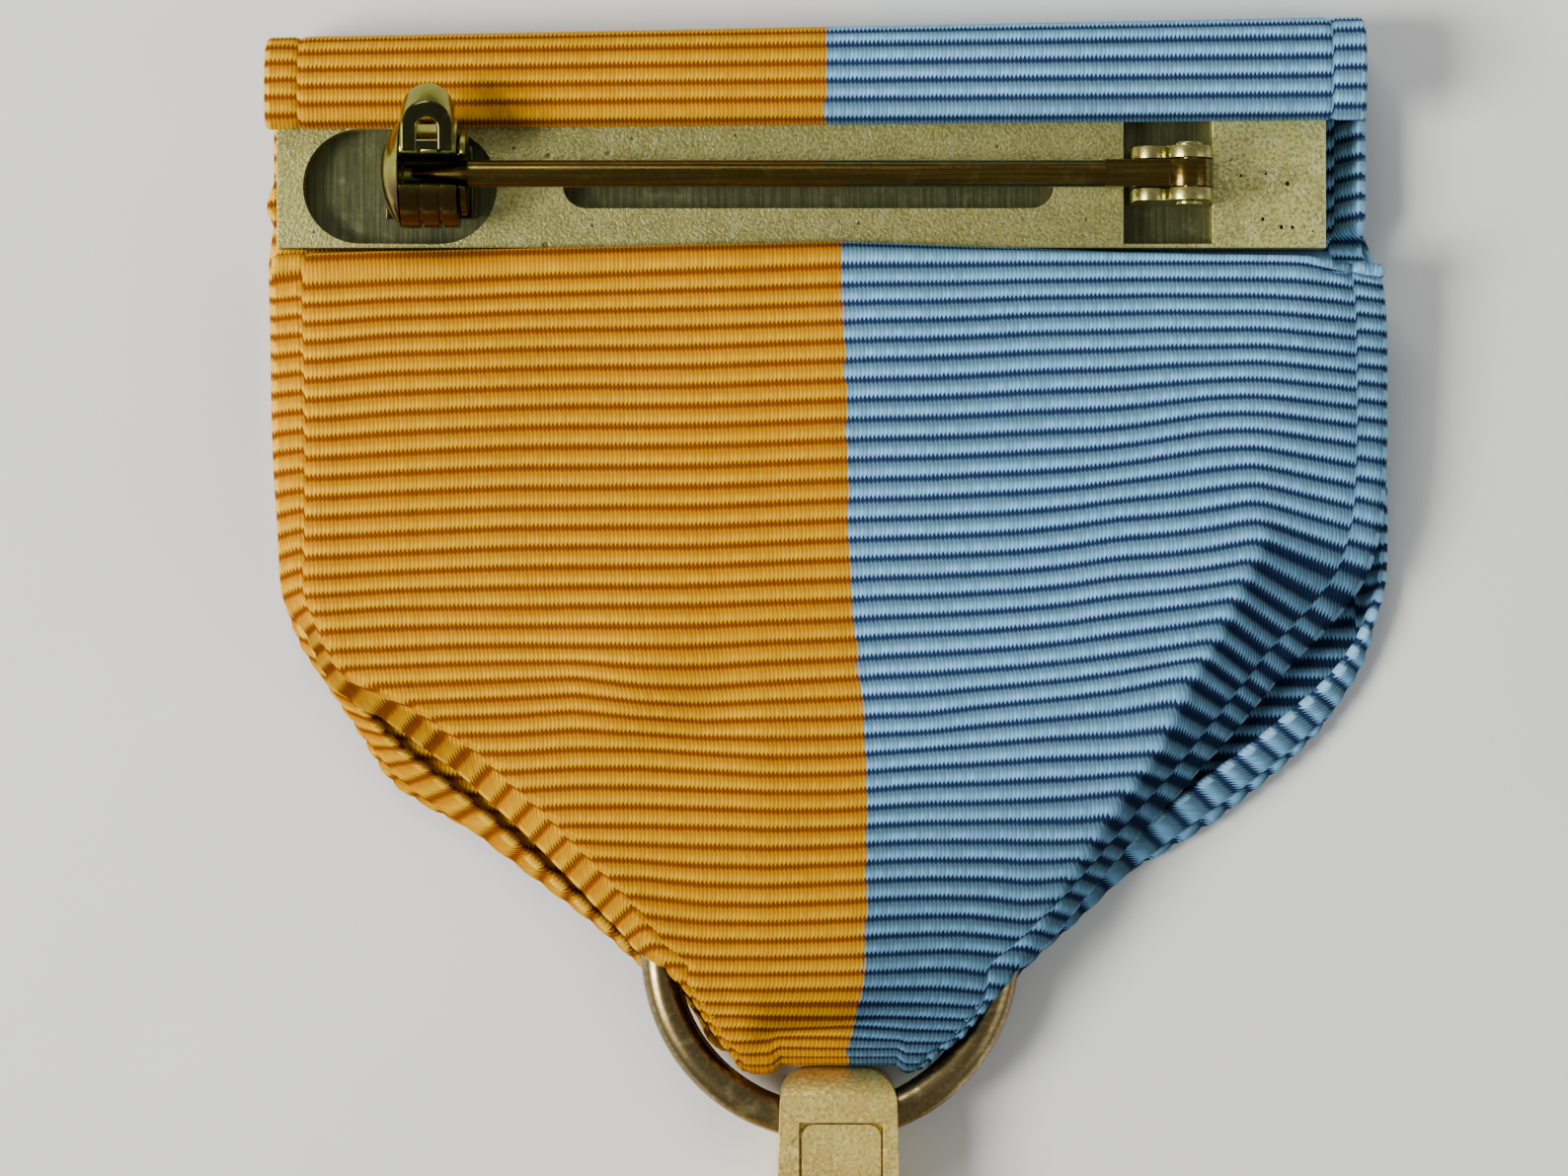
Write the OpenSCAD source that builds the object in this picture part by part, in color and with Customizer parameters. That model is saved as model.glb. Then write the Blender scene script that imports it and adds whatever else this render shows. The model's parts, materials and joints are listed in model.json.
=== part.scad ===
// Military service medal: a pin-back brooch bar, a folded moire-ribbed ribbon
// drape, a round suspension ring and a round medallion on a flat lug.
// Lies on its front face: X across, +Y up towards the brooch, +Z out of the back.
// Origin: middle of the overall box, on the surface the medal lies on.

/* [Ribbon] */
// Thickness of one ribbon ply
ply = 0.45; // [0.3:0.05:0.5]
// Left edge of the top strip
strip_x0 = -17.69; // [-17.9:0.01:-17.4]
// Right edge of the top strip
strip_x1 = 17.0; // [16.8:0.01:17.6]
// Right edge of the drape
drape_x1 = 17.69; // [17.4:0.01:17.9]
// Left edge of the drape
drape_x0 = -17.4; // [-17.6:0.01:-17.2]
// Top of the ribbon where it wraps over the bar
strip_top = 35.19; // [35.1:0.01:35.4]
// Lower edge of the strip on the back of the bar
strip_low = 31.68; // [31.5:0.01:31.9]
// Upper face of the back layer of the drape
back_z = 2.8; // [2.7:0.05:3.0]
// Lowest point of the fold that runs through the ring
fold_y = 2.24; // [2.2:0.02:2.4]

/* [Brooch bar] */
// Left end of the two plates
plate_x0 = -17.25; // [-17.3:0.01:-17.0]
// Right end of the two plates
plate_x1 = 15.76; // [15.5:0.01:16.0]
// Bottom edge of the two plates
plate_y0 = 27.92; // [27.8:0.01:28.0]
// Top edge of the two plates, inside the ribbon wrap
plate_y1 = 33.7; // [33.5:0.01:33.7]
// Thickness of the inner plate
inner_t = 0.8; // [0.6:0.05:0.8]
// Thickness of the back plate
back_t = 0.8; // [0.6:0.05:0.8]
// Underside of the inner plate
plate_z = 1.05; // [1.0:0.05:1.1]

/* [Pin] */
// Y of the pin's axis
pin_y = 30.12; // [30.0:0.01:30.2]
// Z of the pin's axis
pin_z = 4.1; // [4.0:0.05:4.3]
// Radius of the pin stem
pin_r = 0.42; // [0.38:0.01:0.42]
// X of the hinge rivet
rivet_x = 11.32; // [11.2:0.01:11.4]
// Radius of the hinge rivet
rivet_r = 0.28; // [0.25:0.01:0.3]
// Running clearance of the pin's eye on the rivet
eye_gap = 0.05; // [0.02:0.01:0.08]
// Right end of the stem's full-diameter length
stem_x1 = 8.7; // [8.5:0.1:8.9]
// Left end of the stem's full-diameter length
stem_x0 = -11.1; // [-11.1:0.1:-10.9]

/* [Catch] */
// Left end of the revolving drum
drum_x0 = -13.15; // [-13.2:0.01:-13.1]
// Right end of the revolving drum
drum_x1 = -11.40; // [-11.45:0.01:-11.4]
// Outer radius of the drum
drum_r = 1.7; // [1.65:0.01:1.72]
// Inner radius of the drum
drum_ri = 1.0; // [1.0:0.01:1.02]
// Radius of the fixed sleeve the drum turns on
sleeve_r = 0.95; // [0.93:0.01:0.95]
// Width of the mouth that the pin drops through
mouth_w = 1.0; // [0.98:0.02:1.0]
// How far the lever's eye reaches from the drum's axis
lever_reach = 2.83; // [2.6:0.01:2.9]

/* [Ring] */
// X of the ring's centre
ring_x = 0.17; // [0.1:0.01:0.3]
// Y of the ring's centre
ring_y = 5.68; // [5.6:0.01:5.7]
// Radius to the middle of the wire
ring_r = 5.4; // [5.3:0.05:5.4]
// Radius of the wire
wire_r = 0.6; // [0.5:0.05:0.6]
// Z of the ring's plane
ring_z = 1.5; // [1.5:0.05:1.5]

/* [Pendant] */
// Y of the axis of the lug's hole
lug_y = 0.466; // [0.44:0.001:0.49]
// Radius of the lug's hole
lug_hole_r = 0.9; // [0.9:0.01:0.92]
// Thickness of the lug
lug_t = 2.8; // [2.7:0.05:2.8]
// Swing radius of the lug's rounded top
lug_top_r = 1.62; // [1.6:0.01:1.65]
// Radius of the medallion
disc_r = 16.0; // [15.8:0.1:16.0]
// Thickness of the medallion at its rim
disc_t = 2.55; // [2.5:0.01:2.55]
// Width of the raised rim
rim_w = 1.1; // [0.8:0.1:1.4]
// Depth of the field below the rim
field_d = 0.45; // [0.3:0.05:0.5]
// X of the medallion's centre
disc_x = 0.40; // [0.3:0.01:0.5]
// Y of the medallion's centre
disc_y = -19.19; // [-19.2:0.01:-19.1]

/* [Hidden] */
$fn = 64;

inner_top = plate_z + inner_t;          // 1.85
plate_top = inner_top + back_t;         // 2.65
wrap_y0 = 27.75;                        // where the bar wrap ends and the drape starts
strip_z = 3.6;                          // outer face of the strip on the bar's back
fold_r = back_z / 2;                    // half-round of the fold at the ring
fold_cy = fold_y + fold_r;
fold_x0 = -2.9;
fold_x1 = 3.3;
orange = [0.91, 0.60, 0.06];
sky = [0.42, 0.62, 0.80];
bronze = [0.66, 0.56, 0.36];

// Outline of the front layer of the drape
front_outline = [[drape_x0, wrap_y0], [drape_x0, 18.0], [-15.1, 13.3], [-13.3, 10.9],
                 [-5.9, 5.6], [-3.6, fold_cy], [4.0, fold_cy], [6.8, 5.7], [14.9, 12.4],
                 [drape_x1, 17.6], [drape_x1, wrap_y0]];
// Outline of the back layer of the drape
back_outline = [[drape_x0, wrap_y0], [drape_x0, 17.6], [-14.6, 14.2], [-7.3, 8.2],
                [-5.5, 5.7], [-3.6, fold_cy], [4.0, fold_cy], [6.8, 5.8], [11.4, 11.4],
                [16.2, 14.6], [drape_x1, 17.9], [drape_x1, wrap_y0]];

// Axis helpers
module along_x(x0, len) { translate([x0, 0, 0]) rotate([90, 0, 90]) linear_extrude(height = len) children(); }
module bar_x(x0, x1, r, y, z) { translate([x0, y, z]) rotate([0, 90, 0]) cylinder(r = r, h = x1 - x0); }
module bar_y(y0, y1, r, x, z) { translate([x, y0, z]) rotate([-90, 0, 0]) cylinder(r = r, h = y1 - y0); }
module obround(x0, x1, y, r) {
    translate([x0 + r, y]) circle(r = r);
    translate([x1 - r, y]) circle(r = r);
    translate([x0 + r, y - r]) square([x1 - x0 - 2 * r, 2 * r]);
}

// Front layer of the drape: lies flat on the surface
module ribbon_front_drape() {
    color(orange) linear_extrude(height = ply) polygon(front_outline);
}

// Back layer of the drape: rises in a shoulder under the bar, then hangs level
module ribbon_back_drape() {
    color(sky) union() {
        translate([0, 0, back_z - ply]) linear_extrude(height = ply) polygon(back_outline);
        translate([drape_x0, wrap_y0 - ply, ply])
            cube([drape_x1 - drape_x0, ply, back_z - ply - 0.1]);
    }
}

// Both plies in front of the bar, over its top edge and hemmed on its back
module ribbon_bar_wrap() {
    color(orange) along_x(strip_x0, strip_x1 - strip_x0) difference() {
        union() {
            translate([wrap_y0, 0]) square([33.5 - wrap_y0, 0.95]);
            translate([strip_low, plate_top + 0.05]) square([33.5 - strip_low, strip_z - plate_top - 0.05]);
            translate([33.4, 0]) square([strip_top - 1.2 - 33.4, strip_z]);
            translate([33.4, 1.2]) square([strip_top - 33.4, strip_z - 2.4]);
            translate([strip_top - 1.2, 1.2]) circle(r = 1.2);
            translate([strip_top - 1.2, strip_z - 1.2]) circle(r = 1.2);
        }
        translate([32.0, 0.95]) square([1.74, plate_top + 0.05 - 0.95]);
    }
}

// Half-round fold that carries the ring
module ribbon_ring_fold() {
    color(sky) along_x(fold_x0, fold_x1 - fold_x0) intersection() {
        translate([fold_cy, fold_r]) difference() {
            circle(r = fold_r);
            circle(r = fold_r - ply);
        }
        translate([fold_y - 1, 0]) square([fold_r + 1, back_z]);
    }
}

// Plain plate seen through the windows of the back plate
module inner_plate() {
    color([0.62, 0.56, 0.42]) translate([plate_x0 + 0.2, plate_y0 + 0.1, plate_z])
        cube([plate_x1 - plate_x0 - 0.4, plate_y1 - plate_y0 - 0.2, inner_t]);
}

// Back plate with its three windows
module back_plate() {
    color(bronze) translate([0, 0, inner_top]) linear_extrude(height = back_t) difference() {
        translate([plate_x0, plate_y0]) square([plate_x1 - plate_x0, plate_y1 - plate_y0]);
        obround(-16.42, -10.33, 29.86, 1.80);
        obround(-8.25, 7.22, 29.92, 0.745);
        translate([9.39, 28.06]) square([2.80, 4.1]);
    }
}

// One ear of the joint, with its two humps
module ear(y0) {
    translate([0, y0 + 0.37, 0]) rotate([90, 0, 0]) linear_extrude(height = 0.37) difference() {
        union() {
            translate([9.6, inner_top]) square([2.5, 1.9]);
            translate([rivet_x, pin_z]) circle(r = 0.75);
            translate([10.16, pin_z - 0.25]) circle(r = 0.56);
            translate([rivet_x - 0.75, inner_top + 0.5]) square([1.5, pin_z - inner_top - 0.5]);
        }
        translate([rivet_x, pin_z]) circle(r = rivet_r);
    }
}

// Bent bracket soldered in the right window
module joint_bracket() {
    color([0.72, 0.62, 0.30]) union() {
        translate([9.6, pin_y - 0.84, inner_top]) cube([2.5, 1.68, 0.4]);
        ear(pin_y + 0.47);
        ear(pin_y - 0.84);
    }
}

// Rivet with a head on each side of the ears
module joint_rivet() {
    color([0.70, 0.60, 0.32]) union() {
        bar_y(pin_y - 0.92, pin_y + 0.92, rivet_r, rivet_x, pin_z);
        bar_y(pin_y + 0.84, pin_y + 0.98, 0.42, rivet_x, pin_z);
        bar_y(pin_y - 0.98, pin_y - 0.84, 0.42, rivet_x, pin_z);
    }
}

// Pin: flat eye at the rivet, round stem, drawn-out point inside the catch
module pin_stem() {
    color([0.60, 0.42, 0.22]) difference() {
        union() {
            bar_x(stem_x0, stem_x1, pin_r, pin_y, pin_z);
            // point
            translate([stem_x0, pin_y, pin_z]) rotate([0, -90, 0]) cylinder(r1 = pin_r, r2 = 0.12, h = 1.75);
            // flattened neck and eye
            bar_y(pin_y - pin_r, pin_y + pin_r, 0.72, rivet_x, pin_z);
            translate([stem_x1, pin_y - pin_r, pin_z - 0.36]) cube([rivet_x - stem_x1, 2 * pin_r, 0.72]);
        }
        bar_y(pin_y - 1, pin_y + 1, rivet_r + eye_gap, rivet_x, pin_z);
    }
}

// Fixed part of the catch: foot, domed end and the split sleeve
module catch_body() {
    color([0.78, 0.66, 0.30]) difference() {
        union() {
            // foot in the left window
            translate([-13.85, pin_y - 1.25, inner_top]) cube([2.75, 2.3, 0.45]);
            // web up to the dome
            translate([-13.8, pin_y - 0.9, inner_top]) cube([0.6, 1.8, 1.4]);
            // dome
            intersection() {
                translate([-11.49, pin_y, pin_z]) sphere(r = 2.41);
                translate([-14.2, pin_y - 2, pin_z - 2]) cube([1.0, 4, 4]);
            }
            // sleeve and its end flange
            bar_x(-13.25, -11.15, sleeve_r, pin_y, pin_z);
            bar_x(-11.35, -11.15, 1.3, pin_y, pin_z);
        }
        bar_x(-13.2, -11.0, 0.5, pin_y, pin_z);
        translate([-13.2, pin_y - mouth_w / 2, pin_z]) cube([2.4, mouth_w, 3]);
    }
}

// Revolving part of the catch: split ribbed drum with its eyed lever
module catch_rotor() {
    color([0.80, 0.68, 0.28]) difference() {
        union() {
            bar_x(drum_x0, drum_x1, drum_r, pin_y, pin_z);
            // lever with its eye
            translate([0, 0, pin_z - 0.35]) linear_extrude(height = 0.7) {
                translate([-12.29, pin_y + lever_reach - 0.86]) circle(r = 0.86);
                translate([-13.15, pin_y + 1.2]) square([1.72, lever_reach - 0.86 - 1.2]);
            }
        }
        bar_x(drum_x0 - 1, drum_x1 + 1, drum_ri, pin_y, pin_z);
        translate([drum_x0 - 1, pin_y - mouth_w / 2, pin_z]) cube([4, mouth_w, 3]);
        // grooves round the drum
        for (gx = [-12.59, -11.97]) difference() {
            bar_x(gx, gx + 0.12, drum_r + 0.5, pin_y, pin_z);
            bar_x(gx - 0.1, gx + 0.22, drum_r - 0.14, pin_y, pin_z);
            translate([gx - 0.5, pin_y + 1.2, pin_z - 0.6]) cube([1.2, 2, 1.2]);
        }
        // eye of the lever
        translate([0, 0, pin_z - 1]) linear_extrude(height = 2) {
            translate([-12.29, pin_y + lever_reach - 0.95]) circle(r = 0.45);
            translate([-12.74, pin_y + 1.72]) square([0.9, lever_reach - 0.95 - 1.72]);
        }
    }
}

// Plain round wire ring
module suspension_ring() {
    color([0.50, 0.42, 0.30]) translate([ring_x, ring_y, ring_z])
        rotate_extrude($fn = 128) translate([ring_r, 0]) circle(r = wire_r, $fn = 32);
}

// Lug outline: slightly tapered, with rounded upper corners
lug_outline = concat([[2.40, -4.2]],
    [for (a = [0 : 10 : 90]) [1.27 + cos(a), 1.02 + sin(a)]],
    [for (a = [90 : 10 : 180]) [-0.42 + cos(a), 1.02 + sin(a)]],
    [[-1.57, -4.2]]);

// Flat lug on the medallion's rim, drilled across for the ring
module suspension_lug() {
    color(bronze) difference() {
        intersection() {
            translate([0, 0, ring_z - lug_t / 2]) linear_extrude(height = lug_t) polygon(lug_outline);
            union() {
                bar_x(-3, 4, lug_top_r, lug_y, ring_z);
                translate([-3, -5, -1]) cube([7, 5 + lug_y, 5]);
            }
        }
        bar_x(-4, 5, lug_hole_r, lug_y, ring_z);
        // saddle for the medallion's edge
        translate([disc_x, disc_y, -1]) cylinder(r = disc_r, h = 6, $fn = 180);
        // seat of the tongue
        translate([-0.81, -5, disc_t]) cube([2.64, 5.42, 2]);
    }
}

// Tongue soldered into the lug's back and on to the medallion's rim
module lug_tongue() {
    color([0.74, 0.63, 0.40]) translate([0, 0, disc_t]) linear_extrude(height = ring_z + lug_t / 2 - disc_t - 0.03) union() {
        translate([-0.73, -4.3]) square([2.48, 4.3]);
        translate([-0.33, -0.3]) square([1.68, 0.66]);
        translate([-0.33, -0.04]) circle(r = 0.4);
        translate([1.35, -0.04]) circle(r = 0.4);
    }
}

// Five-pointed star outline
function star(n, ro, ri) = [for (i = [0 : 2 * n - 1]) let (r = i % 2 == 0 ? ro : ri, a = 90 + i * 180 / n) [r * cos(a), r * sin(a)]];

// Medallion: raised rim, sunk field and a plain star on each face
module medallion() {
    color(bronze) translate([disc_x, disc_y, 0]) union() {
        rotate_extrude($fn = 180) union() {
            translate([0, field_d]) square([disc_r - rim_w + 0.1, disc_t - 2 * field_d]);
            translate([disc_r - rim_w, 0]) square([rim_w, disc_t]);
        }
        translate([0, 0, 0.1]) linear_extrude(height = disc_t - 0.2) polygon(star(5, 8.4, 3.4));
    }
}

ribbon_front_drape();
ribbon_back_drape();
ribbon_bar_wrap();
ribbon_ring_fold();
inner_plate();
back_plate();
joint_bracket();
joint_rivet();
pin_stem();
catch_body();
catch_rotor();
suspension_ring();
suspension_lug();
lug_tongue();
medallion();
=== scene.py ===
import bpy
import bmesh
import json
import math
import numpy as np
from mathutils import Vector, Matrix

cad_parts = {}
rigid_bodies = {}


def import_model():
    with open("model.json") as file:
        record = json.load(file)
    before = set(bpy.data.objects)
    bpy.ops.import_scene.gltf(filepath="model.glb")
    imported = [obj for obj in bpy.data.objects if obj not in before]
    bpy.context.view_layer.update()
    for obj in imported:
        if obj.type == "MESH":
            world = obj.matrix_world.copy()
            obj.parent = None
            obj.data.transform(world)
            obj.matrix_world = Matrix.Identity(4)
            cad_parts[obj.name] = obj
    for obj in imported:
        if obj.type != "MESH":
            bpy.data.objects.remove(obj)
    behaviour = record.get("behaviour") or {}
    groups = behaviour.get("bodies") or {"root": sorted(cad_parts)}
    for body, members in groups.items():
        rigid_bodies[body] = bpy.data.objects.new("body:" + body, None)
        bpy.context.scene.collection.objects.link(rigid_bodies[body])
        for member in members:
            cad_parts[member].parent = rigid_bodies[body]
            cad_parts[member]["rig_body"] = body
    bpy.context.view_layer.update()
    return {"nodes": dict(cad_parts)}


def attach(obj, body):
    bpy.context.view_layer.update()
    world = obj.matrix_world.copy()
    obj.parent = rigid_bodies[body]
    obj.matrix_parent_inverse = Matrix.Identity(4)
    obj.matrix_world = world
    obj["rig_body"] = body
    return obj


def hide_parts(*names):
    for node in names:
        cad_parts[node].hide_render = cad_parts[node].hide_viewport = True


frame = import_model()
MM = 0.001
scene = bpy.context.scene

# ------------------------------------------------------------------ helpers
# The camera stands straight above the medal's back. px() turns a place in the
# 1588 x 1191 frame, and a height, into the model's own millimetres.
CAM_X, CAM_Y, CAM_Z, FOCUS_Z, SCALE = -1.289, 17.22, 142.7, 2.7, 32.2


def px(x, y, z):
    k = (CAM_Z - z) / (CAM_Z - FOCUS_Z) / SCALE
    return (CAM_X + (x - 794.0) * k, CAM_Y + (595.5 - y) * k, z)


def pchip(xs, ys, x):
    """Smooth curve through (xs, ys) that doesn't overshoot."""
    xs, ys, x = np.asarray(xs, float), np.asarray(ys, float), np.asarray(x, float)
    h = np.diff(xs)
    d = np.diff(ys) / h
    m = np.zeros_like(ys)
    for i in range(1, len(xs) - 1):
        if d[i - 1] * d[i] > 0:
            w1, w2 = 2 * h[i] + h[i - 1], h[i] + 2 * h[i - 1]
            m[i] = (w1 + w2) / (w1 / d[i - 1] + w2 / d[i])
    m[0], m[-1] = d[0], d[-1]
    k = np.clip(np.searchsorted(xs, x) - 1, 0, len(xs) - 2)
    t = (x - xs[k]) / h[k]
    t = np.clip(t, -0.2, 1.2)
    h00, h10 = 2 * t**3 - 3 * t**2 + 1, t**3 - 2 * t**2 + t
    h01, h11 = -2 * t**3 + 3 * t**2, t**3 - t**2
    return h00 * ys[k] + h10 * h[k] * m[k] + h01 * ys[k + 1] + h11 * h[k] * m[k + 1]


def gauss_rows(a, sigma):
    """Gaussian smoothing along axis 0, ends held by odd reflection."""
    r = int(3 * sigma) + 1
    k = np.exp(-0.5 * (np.arange(-r, r + 1) / sigma) ** 2)
    k /= k.sum()
    pad = np.concatenate([2 * a[:1] - a[r:0:-1], a, 2 * a[-1:] - a[-2 : -r - 2 : -1]])
    out = np.zeros_like(a)
    for i, w in enumerate(k):
        out += w * pad[i : i + len(a)]
    return out


def smoothstep(a, b, x):
    t = np.clip((x - a) / (b - a), 0, 1)
    return t * t * (3 - 2 * t)


def grid_noise(nx, ny, seed, sx, sy):
    """Smooth noise on an nx by ny grid, of cell size sx, sy samples, about -1 to 1."""
    rng = np.random.RandomState(seed)
    gx, gy = int(nx / sx) + 4, int(ny / sy) + 4
    g = rng.rand(gx, gy) * 2 - 1
    X, Y = np.meshgrid(np.arange(nx) / sx, np.arange(ny) / sy, indexing="ij")
    ix, iy = X.astype(int), Y.astype(int)
    fx, fy = X - ix, Y - iy
    fx, fy = fx * fx * (3 - 2 * fx), fy * fy * (3 - 2 * fy)
    return (
        g[ix, iy] * (1 - fx) * (1 - fy)
        + g[ix + 1, iy] * fx * (1 - fy)
        + g[ix, iy + 1] * (1 - fx) * fy
        + g[ix + 1, iy + 1] * fx * fy
    )


def new_object(name, mesh):
    o = bpy.data.objects.new(name, mesh)
    scene.collection.objects.link(o)
    return o


def mesh_from(name, verts, faces, smooth=True):
    me = bpy.data.meshes.new(name)
    me.from_pydata([tuple(v) for v in verts], [], [tuple(f) for f in faces])
    me.validate()
    me.update()
    if smooth:
        me.polygons.foreach_set("use_smooth", [True] * len(me.polygons))
    return me


# ------------------------------------------------------------------ ribbon
PITCH = 0.625  # rib to rib
PER_RIB = 8
RIB_LOW, RIB_AMP = 0.118, 0.098  # half-thickness in a valley, and a ridge's rise
BAND = 1.05  # selvedge band

# each control row: left selvedge, left fold, colour boundary, right fold, right selvedge
control = []


def flat_row(y, z, xl, xr, xb, tilt=0.0, bow=0.0):
    """A straight row under or over the bar, in millimetres."""

    def at(x):
        t = x / 17.4
        return (x, y + tilt * t - bow * abs(t) ** 2, z)

    control.append([at(xl), at(xl + 1.1), at(xb), at(xr - 1.1), at(xr)])


# hem inside the strip on the bar's back, then over the bar's top edge
for y, z in [(32.98, 2.89), (33.3, 2.89), (33.6, 2.86), (33.85, 2.68), (33.93, 2.36),
             (33.93, 1.85), (33.93, 1.35), (33.85, 0.98), (33.6, 0.79), (33.2, 0.745)]:
    flat_row(y, z, -17.35, 16.85, 0.05, tilt=0.05)
# in front of the bar
for y in (32.0, 30.5, 29.3, 28.5):
    flat_row(y, 0.735, -17.45 - 0.35 * (y == 29.3), 17.1, 0.25)
    x_, y_, z_ = control[-1][4]
    control[-1][4] = (x_, y_ + 0.22, z_ + 0.85)

# shoulder: out from under the bar's lower edge
SH_BOW_X = [-17.4, -9.0, 0.6, 10.0, 17.8]
SH_BOW_Y = [-0.40, -0.10, 0.0, -0.27, -0.72]


def shoulder_row(y, z, w, xl, xr):
    def at(x):
        return (x, y + w * float(pchip(SH_BOW_X, SH_BOW_Y, x)), z - 0.25 * w * smoothstep(13.0, 17.6, x))

    control.append([at(xl), at(xl + 1.1), at(0.5), at(xr - 1.3), at(xr)])


for y, z, w in [(28.0, 0.78, 0.0), (27.72, 1.02, 0.15), (27.62, 1.45, 0.4), (27.60, 2.0, 0.7),
                (27.66, 2.45, 0.9), (27.82, 2.80, 1.0), (27.98, 3.02, 1.0), (27.96, 3.17, 1.0),
                (27.80, 3.25, 1.0)]:
    shoulder_row(y, z, w, -17.5 + 0.15 * w, 17.1 + 0.5 * w)

# back layer, from the table of places on its folds and selvedges
YC = [262, 300, 350, 450, 520, 580, 614, 652, 677, 690, 712, 737, 764, 781, 797, 821, 840, 862, 883, 905, 938, 964, 980, 994, 1013, 1032, 1062]
XB = [852, 853, 855, 858, 859, 861, 864, 867, 869, 871, 874, 876, 877, 878, 878, 878, 878, 878, 878, 878, 877, 876, 875, 874, 870, 866, 859]
ZC = [3.25, 3.1, 2.98, 2.86, 2.83, 2.82, 2.8, 2.78, 2.77, 2.77, 2.76, 2.76, 2.76, 2.76, 2.76, 2.76, 2.76, 2.75, 2.74, 2.72, 2.7, 2.66, 2.65, 2.64, 2.62, 2.6, 2.5]
XL = [306, 307, 308, 308, 308, 310, 321, 338, 356, 384, 422, 450, 487, 505, 523, 551, 569, 588, 609, 627, 649, 662, 676, 688, 702, 714, 737]
YL = [283, 321, 371, 469, 538, 597, 627, 664, 685, 698, 716, 737, 762, 780, 796, 820, 838, 857, 878, 900, 933, 961, 978, 994, 1013, 1032, 1064]
ZL = [2.98, 2.88, 2.8, 2.74, 2.74, 2.74, 2.74, 2.74, 2.74, 2.75, 2.76, 2.76, 2.76, 2.76, 2.76, 2.75, 2.75, 2.74, 2.73, 2.72, 2.68, 2.64, 2.62, 2.58, 2.55, 2.52, 2.44]
XS = [277, 278, 279, 281, 283, 288, 311, 328, 345, 371, 405, 432, 468, 486, 504, 531, 549, 567, 588, 607, 633, 650, 686, 714, 730, 742, 765]
YS = [286, 324, 375, 473, 546, 606, 636, 672, 700, 716, 736, 758, 783, 801, 817, 841, 859, 878, 899, 920, 946, 966, 979, 992, 1009, 1028, 1060]
ZS = [2.55, 2.45, 2.38, 2.3, 2.2, 1.95, 1.75, 1.7, 1.72, 1.85, 2.05, 2.15, 2.22, 2.22, 2.22, 2.22, 2.22, 2.22, 2.22, 2.24, 2.28, 2.32, 2.34, 2.34, 2.33, 2.31, 2.2]
XR = [1330, 1318, 1308, 1290, 1280, 1276, 1263, 1246, 1233, 1226, 1213, 1196, 1180, 1168, 1156, 1136, 1117, 1101, 1087, 1073, 1051, 1036, 1026, 1016, 1001, 985, 960]
YR = [261, 296, 340, 424, 486, 541, 575, 612, 638, 652, 672, 701, 738, 760, 778, 804, 832, 857, 878, 902, 938, 963, 981, 998, 1017, 1036, 1062]
ZR = [2.95, 2.92, 2.9, 2.88, 2.88, 2.9, 2.9, 2.9, 2.9, 2.9, 2.88, 2.88, 2.86, 2.85, 2.84, 2.82, 2.8, 2.78, 2.76, 2.74, 2.7, 2.65, 2.63, 2.6, 2.56, 2.52, 2.44]
XT = [1398, 1402, 1404, 1404, 1401, 1384, 1350, 1317, 1295, 1286, 1271, 1253, 1230, 1212, 1198, 1171, 1149, 1130, 1113, 1096, 1070, 1050, 1022, 1000, 975, 957, 932]
YT = [276, 306, 350, 440, 514, 582, 628, 662, 684, 696, 713, 735, 760, 778, 796, 824, 846, 868, 888, 909, 944, 966, 982, 996, 1013, 1031, 1058]
ZT = [2.35, 2.25, 2.15, 2.0, 1.85, 1.66, 1.52, 1.42, 1.36, 1.34, 1.32, 1.32, 1.32, 1.32, 1.32, 1.32, 1.34, 1.4, 1.55, 1.8, 2.15, 2.36, 2.38, 2.36, 2.34, 2.31, 2.2]

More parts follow.
